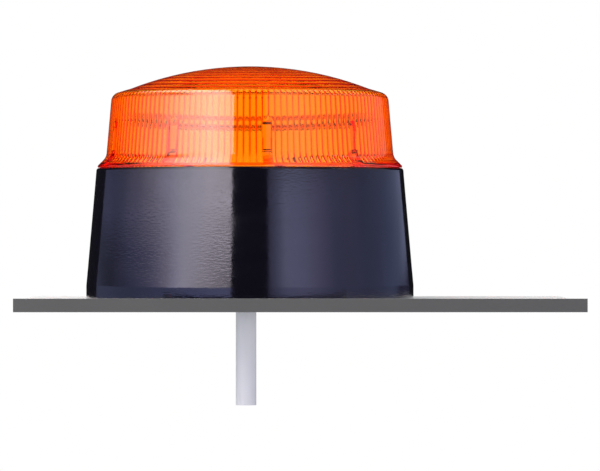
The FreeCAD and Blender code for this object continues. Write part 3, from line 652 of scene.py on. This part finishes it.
def turned_along_x(name, section, level, steps):
    """Closed (r, x) section turned round an axis along X at the given height."""
    mesh = bmesh.new()
    rings = []
    for k in range(steps):
        angle = math.tau * k / steps
        rings.append([mesh.verts.new((x * MM, r * math.cos(angle) * MM, (level + r * math.sin(angle)) * MM))
                      for r, x in section])
    for k, ring in enumerate(rings):
        after = rings[(k + 1) % steps]
        for j in range(len(section)):
            nxt = (j + 1) % len(section)
            mesh.faces.new((ring[j], ring[nxt], after[nxt], after[j]))
    return finished(mesh, name)


def smooth_by_angle(mesh, degrees):
    mesh.polygons.foreach_set("use_smooth", [True] * len(mesh.polygons))
    mesh.set_sharp_from_angle(angle=math.radians(degrees))


def tube_section():
    """Thick wall that closes down to a stem round the electrode at both ends."""
    shoulder = tube_half - 2 * tube_end_round
    return rounded([
        (tube_stem, -tube_half, 0), (tube_radius, -tube_half, tube_end_round),
        (tube_radius, tube_half, tube_end_round), (tube_stem, tube_half, 0), (tube_stem, shoulder, 0),
        (tube_bore, shoulder - tube_end_round, 0), (tube_bore, tube_end_round - shoulder, 0),
        (tube_stem, -shoulder, 0)])


def tube_finish():
    """Clear glass with a grey deposit near the electrodes, and painted shade in bands along its top and
    bottom.
    """
    material = grained("tube_glass", (1.0, 1.0, 1.0), (0.96, 0.97, 0.98), (0.0, 0.02), cloud_size=120.0,
                       bump=0.02, Transmission_Weight=1.0, IOR=1.47)
    tree, maths, x, y, z, flat = canvas(material)
    along = maths("ABSOLUTE", x)
    over(material, near(tree, along, tube_half, deposit_reach, deposit_fade), (0.78, 0.78, 0.80))
    # Painted shade: reddish brown bands along the top and bottom stand for the tube's dark outline seen from
    # the side.
    rise = maths("ABSOLUTE", maths("SUBTRACT", z, tube_level))
    stripe = maths("MULTIPLY", near(tree, rise, tube_radius, tube_shade_band_rise, tube_shade_band_soft),
                   near(tree, along, 0.0, tube_shade_band_length / 2, tube_shade_band_fade))
    over(material, stripe, (0.50, 0.15, 0.09))
    return material


xenon_tube = placed("xenon_tube", turned_along_x("xenon_tube", tube_section(), tube_level, tube_steps))
xenon_tube.data.materials.append(tube_finish())
smooth_by_angle(xenon_tube.data, tube_crease)
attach(xenon_tube, "base")
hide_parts("flash_tube")
tungsten_grey = grained("tungsten_grey", (0.66, 0.65, 0.64), (0.56, 0.55, 0.55), (0.45, 0.6), Metallic=1.0)
nickel_wire = grained("nickel_wire", (0.76, 0.74, 0.70), (0.66, 0.64, 0.60), (0.4, 0.55), Metallic=1.0)
bush_ceramic = grained("bush_ceramic", (0.84, 0.82, 0.78), (0.78, 0.76, 0.72), (0.5, 0.7))
lead_silicone = grained("lead_silicone", (0.74, 0.74, 0.71), (0.68, 0.68, 0.65), (0.5, 0.65))
dress(tungsten_grey, "tube_electrodes")
dress(nickel_wire, "tube_leads", "trigger_wire")
dress(bush_ceramic, "lead_bushings")
dress(lead_silicone, "trigger_lead")

# Lens
# Clear amber polycarbonate, moulded and polished outside. Inside, upright flutes in the wall and rings
# under the dome spread the flash. Ribs stiffen the foot, and lugs turn under the catches of the base.
draft_degrees = 5.0
lens_draft = math.tan(math.radians(draft_degrees))
base_radius = 60.0
base_taper = 43.0
rim_radius = base_radius - base_taper * lens_draft
rim_level = 48.0
rim_shelf = 3.2
rim_wall = 2.2
lens_seat = 48.25
lens_top = 85.3
lens_wall = 2.1
lens_index = 1.58
lens_crease = 20.0
wall_rows = (66.0, 58.0)
shoulder_round = 3.5
shoulder_slope = math.tan(math.radians(16.5))
dome_radius = 120.0
dome_edge = 43.6
dome_rows = (2.0, *range(5, 38, 4), 40.5)
flute_count = 144
flute_depth = 0.5
flute_steps = 10
flute_fade = 0.15
ledge_top = 48.65
flare_round = 4.2
flare_inset = 0.4
flare_lip = 0.6
flare_edge = rim_radius - flare_inset
flare_edge_round = 0.8
flare_low = lens_seat + flare_lip
flare_from = 60.0
flare_degrees = 45.0
flare_thinning = 0.085
seat_round = 0.15
arc_steps = 8
ring_count = 13
ring_pitch = 3.65
ring_depth = 0.5
ring_steps = 6
cusp_rise = 1.0
corner_drop = 0.6
corner_reach = 0.35
corner_rows = 8
catch_room = 2.1
spigot_wall = 1.6
spigot_bottom = 38.6
spigot_middle = 43.0
spigot_radius = rim_radius - rim_wall - catch_room
spigot_bore = spigot_radius - spigot_wall
groove_depth = 0.6
groove_radius = spigot_radius - groove_depth
groove_top = 46.75
groove_low = 44.05
lug_count = 3
lug_half_angle = 8.0
lug_clearance = 0.4
lug_radius = rim_radius - rim_wall - lug_clearance
lug_top = 40.7
lug_edge = 0.05
rib_count = 9
rib_phase = -83.0
rib_half_width = 1.5
rib_depth = 1.2
rib_foot_half_width = 1.55
rib_foot_depth = 0.35
rib_foot_edge = 0.4
rib_foot_top = 54.05
rib_middle = 58.05
rib_full = 62.4
rib_top = 66.4
rib_taper_rows = 8
plain_wall = 67.9


def lens_radius(z):
    return rim_radius - rim_shelf - (z - rim_level) * lens_draft


def dome_height(r):
    bounded = min(r, dome_edge)
    crown = math.sqrt(dome_radius ** 2 - bounded ** 2) - dome_radius
    return lens_top + crown - (r - bounded) * shoulder_slope


def arch(u, half_chord, rise):
    """Height of a shallow arc over its chord, u from -1 to 1 across it."""
    radius = (half_chord ** 2 + rise ** 2) / (2 * rise)
    return math.sqrt(radius ** 2 - (u * half_chord) ** 2) - (radius - rise)


flare_top = flare_low + (flare_edge - lens_radius(flare_low)) / (1 - lens_draft)


def inner_flare():
    """Inside of the flared foot, where level rays through the outside leave at the slope they came in at."""
    outline = rounded([
        (lens_radius(flare_from), flare_from, 0), (lens_radius(flare_top), flare_top, flare_round),
        (flare_edge, flare_low, 0)], arc_steps)
    points = []
    for k, (r, z) in enumerate(outline[1:-1]):
        share = k / arc_steps
        slope = math.radians(draft_degrees + (flare_degrees - draft_degrees) * share)
        bend = slope - math.asin(math.sin(slope) / lens_index)
        reach = lens_wall * (1 - flare_thinning * share)
        points.append((r - reach * math.cos(bend), z - reach * math.sin(bend)))
    r, z = points[-1]
    return points + [(r + z - ledge_top, ledge_top)]


def outer_side():
    """Outside from the dome's edge over the shoulder, down the wall and the flare to the spigot's lugs."""
    edge_z = dome_height(dome_edge)
    run = lens_radius(rim_level) + rim_level * lens_draft - dome_edge
    corner = (edge_z - run * shoulder_slope) / (1 - lens_draft * shoulder_slope)
    return rounded([
        (dome_edge, edge_z, 0), (lens_radius(corner), corner, shoulder_round),
        *((lens_radius(z), z, 0) for z in wall_rows), (lens_radius(flare_top), flare_top, flare_round),
        (flare_edge, flare_low, flare_edge_round), (flare_edge, lens_seat, seat_round),
        (spigot_radius, lens_seat, 0), (spigot_radius, groove_top, 0), (groove_radius, groove_top, 0),
        (groove_radius, groove_low, 0), (spigot_radius, groove_low, 0),
        (spigot_radius, lug_top + lug_edge, 0)], arc_steps)


def lens_strip():
    """One flute's width of the whole lens section: fine columns on the fluted wall, coarse ones elsewhere."""
    step = math.tau / flute_count
    verts, faces, rib_r, rib_w, lug_r = [], [], [], [], []

    def row(columns, rib=(0.0, 0.0), lug=0.0):
        start = len(verts)
        for angle, r, z in columns:
            verts.append((r * math.cos(angle) * MM, r * math.sin(angle) * MM, z * MM))
            rib_r.append(rib[0] * MM)
            rib_w.append(rib[1] * MM)
            lug_r.append(lug * MM)
        return list(range(start, len(verts)))

    def coarse(r, z, lug=0.0):
        return row([(step * k / 2, r, z) for k in range(3)], lug=lug)

    def fine(z, rib=(0.0, 0.0), limit=math.inf, valley=None, depth=flute_depth):
        """Row over one flute, which stands out of its valley but not past the limit."""
        valley = valley or lens_radius(z) - lens_wall
        chord = valley * math.sin(step / 2)
        columns = []
        for k in range(flute_steps + 1):
            r = valley - arch(2 * k / flute_steps - 1, chord, depth)
            columns.append((step * k / flute_steps, min(r, limit), z))
        return row(columns, rib)

    def patch(points, flip):
        faces.append(points[::-1] if flip else points)

    def quads(rows):
        for a, b in zip(rows, rows[1:]):
            for k in range(len(a) - 1):
                faces.append((a[k], b[k], b[k + 1], a[k + 1]))

    def fan(few, many, flip):
        """Joins a coarse row to a fine row."""
        half = flute_steps // 2
        middle = half // 2
        for side in range(2):
            run = many[side * half:(side + 1) * half + 1]
            for k in range(half):
                patch((run[k], run[k + 1], few[side] if k < middle else few[side + 1]), flip)
            patch((few[side], run[middle], few[side + 1]), flip)

    def shank(z):
        return lens_radius(z) - lens_wall - rib_depth, rib_half_width

    foot = (shank(rib_foot_top)[0] - rib_foot_depth, rib_foot_half_width)
    inner_foot = inner_flare()
    wall = [fine(z, foot, valley=r, depth=flute_depth * (1 - flute_fade * k / len(inner_foot)))
            for k, (r, z) in reversed(list(enumerate(inner_foot)))]
    wall.append(fine(rib_foot_top - rib_foot_edge, foot))
    wall += [fine(z, shank(z)) for z in (rib_foot_top, rib_middle, rib_full)]
    full_r = shank(rib_full)[0]
    for k in range(1, rib_taper_rows + 1):
        share = k / rib_taper_rows
        r = full_r + (lens_radius(rib_top) - lens_wall - full_r) * share
        wall.append(fine(rib_full + (rib_top - rib_full) * share, (r, rib_half_width)))
    cusp_r = ring_pitch * ring_count
    cusp_z = dome_height(cusp_r) - lens_wall + cusp_rise
    corner_z = cusp_z - corner_drop
    corner_r = lens_radius(corner_z) - lens_wall + corner_reach
    wall += [fine(z) for z in (plain_wall, corner_z)]
    for k in range(1, corner_rows + 1):
        share = k / corner_rows
        limit = corner_r + (cusp_r - corner_r) * share
        wall.append(fine(corner_z + (cusp_z - corner_z) * share, limit=limit))
    bore = [coarse(spigot_bore, z) for z in (spigot_bottom, spigot_middle, ledge_top)]
    ceiling = []
    for ring in range(ring_count, 1, -1):
        for s in range(1, ring_steps + 1):
            u = 1 - 2 * s / ring_steps
            r = ring_pitch * (ring - 0.5 + u / 2)
            ceiling.append(coarse(r, dome_height(r) - lens_wall - arch(u, ring_pitch / 2, ring_depth)))
    outside = [coarse(r, z) for r, z in [(r, dome_height(r)) for r in dome_rows] + outer_side()]
    outside += [coarse(spigot_radius, z, lug_radius) for z in (lug_top, spigot_bottom)]
    quads(wall)
    fan(bore[-1], wall[0], False)
    fan(ceiling[0], wall[-1], True)
    for rows in (bore, ceiling, outside, (outside[-1], bore[0])):
        quads(rows)
    inner_top = dome_height(ring_pitch) - lens_wall
    for pole_z, ring, flip in ((inner_top, ceiling[-1], True), (lens_top, outside[0], False)):
        pole = row([(0.0, 0.0, pole_z)])[0]
        for k in range(2):
            patch((ring[k], ring[k + 1], pole), flip)
    mesh = bpy.data.meshes.new("lens_strip")
    mesh.from_pydata(verts, [], faces)
    for name, values in (("rib_radius", rib_r), ("rib_half_width", rib_w), ("lug_radius", lug_r)):
        mesh.attributes.new(name, "FLOAT", "POINT").data.foreach_set("value", values)
    return mesh


weld_gap = 0.002 * MM
least_radius = 0.001 * MM


def lens_tree():
    """Repeats the strip round the axis, welds it, then presses the ribs and lugs out of its rows."""
    tree = bpy.data.node_groups.new("fluted_lens", "GeometryNodeTree")
    tree.interface.new_socket("Geometry", in_out="OUTPUT", socket_type="NodeSocketGeometry")
    names = {}
    for name, kind, value in (
            ("Geometry", "Geometry", None), ("Flutes", "Int", flute_count), ("Ribs", "Int", rib_count),
            ("Rib Phase", "Float", math.radians(rib_phase)), ("Lugs", "Int", lug_count),
            ("Lug Half Angle", "Float", math.radians(lug_half_angle)), ("Plastic", "Material", None)):
        socket = tree.interface.new_socket(name, in_out="INPUT", socket_type="NodeSocket" + kind)
        names[name] = socket.identifier
        if value is not None:
            socket.default_value = value
    given = tree.nodes.new("NodeGroupInput").outputs
    maths = sums(tree)
    turn = maths("DIVIDE", math.tau, given["Flutes"])
    points = add(tree, "GeometryNodePoints", Count=given["Flutes"])
    index = add(tree, "GeometryNodeInputIndex").outputs[0]
    angle = add(tree, "ShaderNodeCombineXYZ", Z=maths("MULTIPLY", index, turn))
    rotation = add(tree, "FunctionNodeEulerToRotation", i0=angle.outputs[0])
    copies = add(tree, "GeometryNodeInstanceOnPoints", Points=points.outputs[0], Instance=given["Geometry"],
                 Rotation=rotation.outputs[0])
    real = add(tree, "GeometryNodeRealizeInstances", i0=copies.outputs[0])
    welded = add(tree, "GeometryNodeMergeByDistance", Geometry=real.outputs[0], Distance=weld_gap)
    place = add(tree, "ShaderNodeSeparateXYZ", i0=add(tree, "GeometryNodeInputPosition").outputs[0]).outputs
    bearing = maths("ARCTAN2", place["Y"], place["X"])
    reach = maths("SQRT", maths("ADD", maths("MULTIPLY", place["X"], place["X"]),
                                maths("MULTIPLY", place["Y"], place["Y"])))

    def off_centre(count):
        """Angle from the middle of the nearest of so many ribs or lugs."""
        pitch = maths("DIVIDE", math.tau, count)
        turns = maths("DIVIDE", maths("SUBTRACT", bearing, given["Rib Phase"]), pitch)
        return maths("MULTIPLY", maths("ABSOLUTE", maths("SUBTRACT", turns, maths("ROUND", turns))), pitch)

    def attribute(name):
        value = add(tree, "GeometryNodeInputNamedAttribute", {"data_type": "FLOAT"}, Name=name)
        return value.outputs["Attribute"]

    def pressed(geometry, target, inside, further):
        """Moves the chosen points to another radius, where that is further out of the wall."""
        wanted = maths("MULTIPLY", maths("GREATER_THAN", target, least_radius), inside)
        target = maths(further, target, reach)
        spot = add(tree, "ShaderNodeCombineXYZ", X=maths("MULTIPLY", maths("COSINE", bearing), target),
                   Y=maths("MULTIPLY", maths("SINE", bearing), target), Z=place["Z"])
        return add(tree, "GeometryNodeSetPosition", Geometry=geometry, Selection=wanted,
                   Position=spot.outputs[0]).outputs[0]

    rib_target = attribute("rib_radius")
    rib_reach = maths("DIVIDE", attribute("rib_half_width"), rib_target)
    in_rib = maths("LESS_THAN", off_centre(given["Ribs"]), rib_reach)
    in_lug = maths("LESS_THAN", off_centre(given["Lugs"]), given["Lug Half Angle"])
    ribbed = pressed(welded.outputs[0], rib_target, in_rib, "MINIMUM")
    lugged = pressed(ribbed, attribute("lug_radius"), in_lug, "MAXIMUM")
    painted = add(tree, "GeometryNodeSetMaterial", Geometry=lugged, Material=given["Plastic"])
    add(tree, "NodeGroupOutput", i0=painted.outputs[0])
    return tree, names


def grown(name, mesh, tree, names, values):
    """Runs a geometry tree on a mesh and returns the result as an object with a plain mesh."""
    seed = placed(name + "_seed", mesh)
    modifier = seed.modifiers.new("grow", "NODES")
    modifier.node_group = tree
    for key, value in values.items():
        modifier[names[key]] = value
    bpy.context.view_layer.update()
    result = bpy.data.meshes.new_from_object(seed.evaluated_get(bpy.context.evaluated_depsgraph_get()))
    result.name = name
    seed.modifiers.remove(modifier)
    bpy.data.objects.remove(seed)
    return placed(name, result)


amber_clear = grained("amber_clear", (1.0, 0.93, 0.815), (1.0, 0.91, 0.785), (0.0, 0.012), cloud_size=70.0,
                      bump=0.01, Transmission_Weight=1.0, IOR=lens_index)
amber_tree = amber_clear.node_tree
amber_bulk = add(amber_tree, "ShaderNodeVolumeAbsorption", Color=(0.996, 0.77, 0.02, 1), Density=1250.0)
wire(amber_tree, amber_tree.nodes["Material Output"], Volume=amber_bulk.outputs[0])
amber_lens = grown("amber_lens", lens_strip(), *lens_tree(), {"Plastic": amber_clear})
smooth_by_angle(amber_lens.data, lens_crease)
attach(amber_lens, "lens")
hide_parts("lens_dome")

# Studio
# A light tent: two tall curved diffusers beside the beacon, the left one brighter, and a roof that follows
# them. A dark gap stays open at the camera, and dark cloth behind keeps the lens's edges deep.
tent_radius = 0.9
tent_low = -0.1
tent_high = 0.75
tent_gap = 12.6
left_end = 134.0
right_end = 148.0
roof_height = 1.5
roof_half = 1.5
roof_front = -2.6
roof_back = 3.6
roof_opening = (24.0, 31.0)
gap_spread = 0.89
cloth_radius = 1.2
cloth_low = -0.5
cloth_middle = 0.83
cloth_high = 2.0
back_cloth_ends = (155.0, 205.0)
seam_rise = 0.152
seam_back = 0.0615
seam_band = (0.002, -0.004)
foot_band = (0.035, 0.06)
droop_band = (0.034, 0.054)
droop_sides = (42.0, 72.0)
droop_front = (12.0, 50.0)
droop_dark = 36.0
cloud_stretch = (1.9, 1.9, 34.0)
cloud_light = (0.74, 1.22)


def hung(name, verts, faces):
    """Stage object that the camera doesn't see and that casts no shadow."""
    mesh = bpy.data.meshes.new(name)
    mesh.from_pydata(verts, [], faces)
    card = placed(name, mesh)
    card.visible_camera = False
    card.visible_shadow = False
    card.visible_transmission = False
    return card


def curved_wall(name, start_deg, end_deg, low, high, distance, steps=60):
    """Upright wall round the beacon, angles from the camera's side, positive to the right."""
    verts = []
    for k in range(steps + 1):
        angle = math.radians(start_deg + (end_deg - start_deg) * k / steps)
        verts += [(distance * math.sin(angle), -distance * math.cos(angle), z) for z in (low, high)]
    return hung(name, verts, [(2 * k, 2 * k + 1, 2 * k + 3, 2 * k + 2) for k in range(steps)])


def in_radians(degrees):
    return [math.radians(value) for value in degrees]


def ramp_of(tree, position, stops, top):
    """Colour ramp through (position, colour) stops, with colours as shares of the brightest value."""
    ramp = add(tree, "ShaderNodeValToRGB", Fac=position)
    while len(ramp.color_ramp.elements) < len(stops):
        ramp.color_ramp.elements.new(0.5)
    for element, (share, colour) in zip(ramp.color_ramp.elements, stops):
        element.position = share
        element.color = (*(part / top for part in colour), 1)
    return ramp.outputs["Color"]


def brightest(stops):
    return max(max(colour) for place, colour in stops)


def glowing(name):
    """New material without a shader yet, its tree, its maths, and the place and its X, Y and Z."""
    material = bpy.data.materials.new(name)
    material.use_nodes = True
    tree = material.node_tree
    tree.nodes.clear()
    here = object_place(tree)
    return material, tree, sums(tree), here, add(tree, "ShaderNodeSeparateXYZ", i0=here).outputs


def shine(tree, colour, strength):
    glow = add(tree, "ShaderNodeEmission", Color=colour, Strength=strength)
    add(tree, "ShaderNodeOutputMaterial", Surface=glow.outputs[0])


def wall_light(name, foot_stops, low_stops, high_stops, droop):
    """Emission along a curved wall, with stops for what the foot, the base's wall and the lens reflect.
    Low down, the light draws in from its back end by droop degrees and dims at its front end."""
    material, tree, maths, here, place = glowing(name)
    angle = maths("ARCTAN2", maths("ABSOLUTE", place["X"]), maths("MULTIPLY", place["Y"], -1.0))
    share = maths("DIVIDE", angle, math.pi)
    top = brightest(foot_stops + low_stops + high_stops)
    seam = maths("MULTIPLY_ADD", maths("COSINE", maths("MULTIPLY", angle, 0.5)), seam_rise, seam_back)
    below = maths("SUBTRACT", seam, place["Z"])
    lowness = mapped(tree, below, *droop_band, curve="SMOOTHSTEP")
    sideness = mapped(tree, angle, *in_radians(droop_sides), to_high=droop / 180)
    frontness = mapped(tree, angle, *in_radians(droop_front), droop / droop_dark, 0.0)
    low_share = maths("MULTIPLY_ADD", lowness, sideness, share)
    foot, low, high = (
        ramp_of(tree, position, [(degrees / 180, colour) for degrees, colour in stops], top)
        for position, stops in ((share, foot_stops), (low_share, low_stops), (share, high_stops)))
    spot = add(tree, "ShaderNodeVectorMath", {"operation": "MULTIPLY"}, i0=here, i1=cloud_stretch)
    cloud = add(tree, "ShaderNodeTexNoise", Vector=spot.outputs[0], Scale=1.0, Detail=3.0, Roughness=0.55)
    uneven = mapped(tree, cloud.outputs["Fac"], *noise_range, *cloud_light)
    dimmed = maths("MULTIPLY", uneven, maths("SUBTRACT", 1.0, maths("MULTIPLY", lowness, frontness)))
    clouded = add(tree, "ShaderNodeVectorMath", {"operation": "SCALE"}, i0=low, Scale=dimmed)
    lower = blend(tree, mapped(tree, place["Z"], *foot_band), foot, clouded.outputs[0])
    shine(tree, blend(tree, mapped(tree, below, *seam_band), lower, high), top)
    return material


def roof_light(name, stops):
    """Emission that changes across the roof; stops are (metres to the right, colour)."""
    material, tree, maths, here, place = glowing(name)
    before = maths("MAXIMUM", maths("MULTIPLY", place["Y"], -1.0), 0.0)
    across = maths("DIVIDE", place["X"], maths("MULTIPLY_ADD", before, gap_spread, 1.0))
    top = brightest(stops)
    shade = ramp_of(tree, mapped(tree, across, -roof_half, roof_half),
                    [((metres + roof_half) / (2 * roof_half), colour) for metres, colour in stops], top)
    aside = maths("ABSOLUTE", maths("ARCTAN2", place["X"], place["Y"]))
    shine(tree, shade, mapped(tree, aside, *in_radians(roof_opening), 0.0, top))
    return material


left_wall = curved_wall("left_diffuser", -tent_gap, -left_end, tent_low, tent_high, tent_radius)
left_wall.data.materials.append(wall_light(
    "left_light",
    [(12.0, (1.3, 1.35, 2.3)), (40.0, (1.0, 1.1, 2.0)), (61.0, (0.7, 0.8, 1.45)), (88.0, (0.42, 0.5, 0.85)),
     (117.0, (0.3, 0.34, 0.6)), (138.0, (0.16, 0.17, 0.28))],
    [(12.0, (8.4, 7.7, 7.9)), (30.0, (7.8, 7.2, 7.5)), (48.0, (6.2, 5.9, 6.5)), (61.0, (4.2, 4.0, 4.9)),
     (74.0, (2.6, 2.4, 3.0)), (88.0, (1.4, 1.3, 1.9)), (104.0, (0.65, 0.67, 1.1)), (120.0, (0.36, 0.38, 0.7)),
     (138.0, (0.16, 0.17, 0.28))],
    [(12.0, (5.0, 4.6, 4.2)), (22.0, (6.2, 5.8, 5.4)), (30.0, (7.0, 6.8, 6.6)), (52.0, (4.3, 4.3, 4.4)),
     (78.0, (1.5, 1.4, 1.3)), (104.0, (0.25, 0.25, 0.22)), (122.0, (0.1, 0.1, 0.09)),
     (129.0, (0.02, 0.02, 0.02)), (138.0, (0.01, 0.01, 0.01))], droop=26.0))
right_wall = curved_wall("right_diffuser", tent_gap, right_end, tent_low, tent_high, tent_radius)
right_wall.data.materials.append(wall_light(
    "right_light",
    [(12.0, (0.4, 0.4, 0.65)), (25.0, (1.3, 1.35, 2.2)), (37.0, (1.35, 1.35, 2.2)), (61.0, (0.7, 0.72, 1.25)),
     (88.0, (0.45, 0.5, 0.85)), (117.0, (0.36, 0.42, 0.75)), (128.0, (0.1, 0.1, 0.2)),
     (146.0, (0.05, 0.05, 0.1))],
    [(12.0, (0.5, 0.5, 0.8)), (18.0, (1.0, 1.05, 1.6)), (25.0, (1.85, 1.9, 2.8)), (37.0, (1.75, 1.8, 2.75)),
     (49.0, (1.3, 1.25, 2.0)), (61.0, (0.8, 0.82, 1.4)), (74.0, (0.68, 0.68, 1.15)),
     (88.0, (0.52, 0.57, 1.0)), (117.0, (0.42, 0.5, 0.9)), (146.0, (0.4, 0.44, 0.7))],
    [(12.0, (0.3, 0.3, 0.3)), (18.0, (0.5, 0.5, 0.5)), (37.0, (0.8, 0.8, 0.78)), (61.0, (0.42, 0.42, 0.4)),
     (88.0, (0.3, 0.3, 0.3)), (112.0, (0.4, 0.38, 0.38)), (138.0, (0.28, 0.28, 0.28)),
     (142.0, (0.01, 0.01, 0.01))], droop=0.0))
roof_corners = [(-roof_half, roof_front, roof_height), (roof_half, roof_front, roof_height),
                (roof_half, roof_back, roof_height), (-roof_half, roof_back, roof_height)]
roof = hung("roof_diffuser", roof_corners, [(3, 2, 1, 0)])
roof.data.materials.append(roof_light(
    "roof_light",
    [(-1.24, (0.08, 0.08, 0.08)), (-0.96, (1.1, 1.1, 1.0)), (-0.68, (4.3, 4.3, 4.3)),
     (-0.36, (6.6, 6.4, 6.2)), (-0.2, (4.8, 4.5, 4.2)), (-0.18, (0.02, 0.02, 0.02)),
     (0.18, (0.02, 0.02, 0.02)), (0.23, (0.5, 0.5, 0.5)), (0.46, (0.78, 0.78, 0.78)),
     (0.78, (0.34, 0.34, 0.34)), (1.06, (0.17, 0.17, 0.17)), (1.3, (0.22, 0.22, 0.22))]))
roof.visible_diffuse = False
cloth_black, cloth_tree, cloth_skin = plain_material("cloth_black")
wire(cloth_tree, cloth_skin, Base_Color=(0.012, 0.012, 0.013, 1), Roughness=1.0, Specular_IOR_Level=0.0)
for cloth in (curved_wall("low_cloth", 0.0, 360.0, cloth_low, cloth_middle, cloth_radius, steps=90),
              curved_wall("back_cloth", *back_cloth_ends, cloth_middle, cloth_high, cloth_radius)):
    cloth.data.materials.append(cloth_black)
    cloth.visible_diffuse = False

# Sky
# White for the camera and in reflections. Through the lens the horizon is white and the sky over it dim, and
# what has met a matt surface inside finds a bright sky: the light that falls in through the lens from above.
horizon_light = 1.5
side_band = (-0.3, 0.3)
side_light = (1.8, 1.6)
dim_band = (0.4, 0.65)
bright_band = (0.2, 0.6)
light_above = 7.2
room_light = 0.8
most_bounces = 32
most_reflections = 24
world = bpy.data.worlds.new("studio")
world.use_nodes = True
scene.world = world
sky = world.node_tree
sky.nodes.clear()
maths = sums(sky)
seen = add(sky, "ShaderNodeLightPath").outputs
heading = add(sky, "ShaderNodeSeparateXYZ", i0=add(sky, "ShaderNodeTexCoord").outputs["Generated"]).outputs
sky_side = mapped(sky, heading["X"], *side_band, *side_light)
sky_dim = mapped(sky, heading["Z"], *dim_band, horizon_light, sky_side)
sky_bright = mapped(sky, heading["Z"], *bright_band, horizon_light, light_above)
through = blend(sky, maths("MINIMUM", seen["Diffuse Depth"], 1.0), sky_dim, sky_bright, "FLOAT")
plain = maths("MAXIMUM", maths("MAXIMUM", seen["Is Camera Ray"], seen["Is Glossy Ray"]), room_light)
strength = blend(sky, seen["Is Transmission Ray"], plain, through, "FLOAT")
backdrop = add(sky, "ShaderNodeBackground", Color=(1, 1, 1, 1), Strength=strength)
add(sky, "ShaderNodeOutputWorld", Surface=backdrop.outputs[0])
scene.cycles.max_bounces = most_bounces
scene.cycles.transmission_bounces = most_bounces
scene.cycles.glossy_bounces = most_reflections
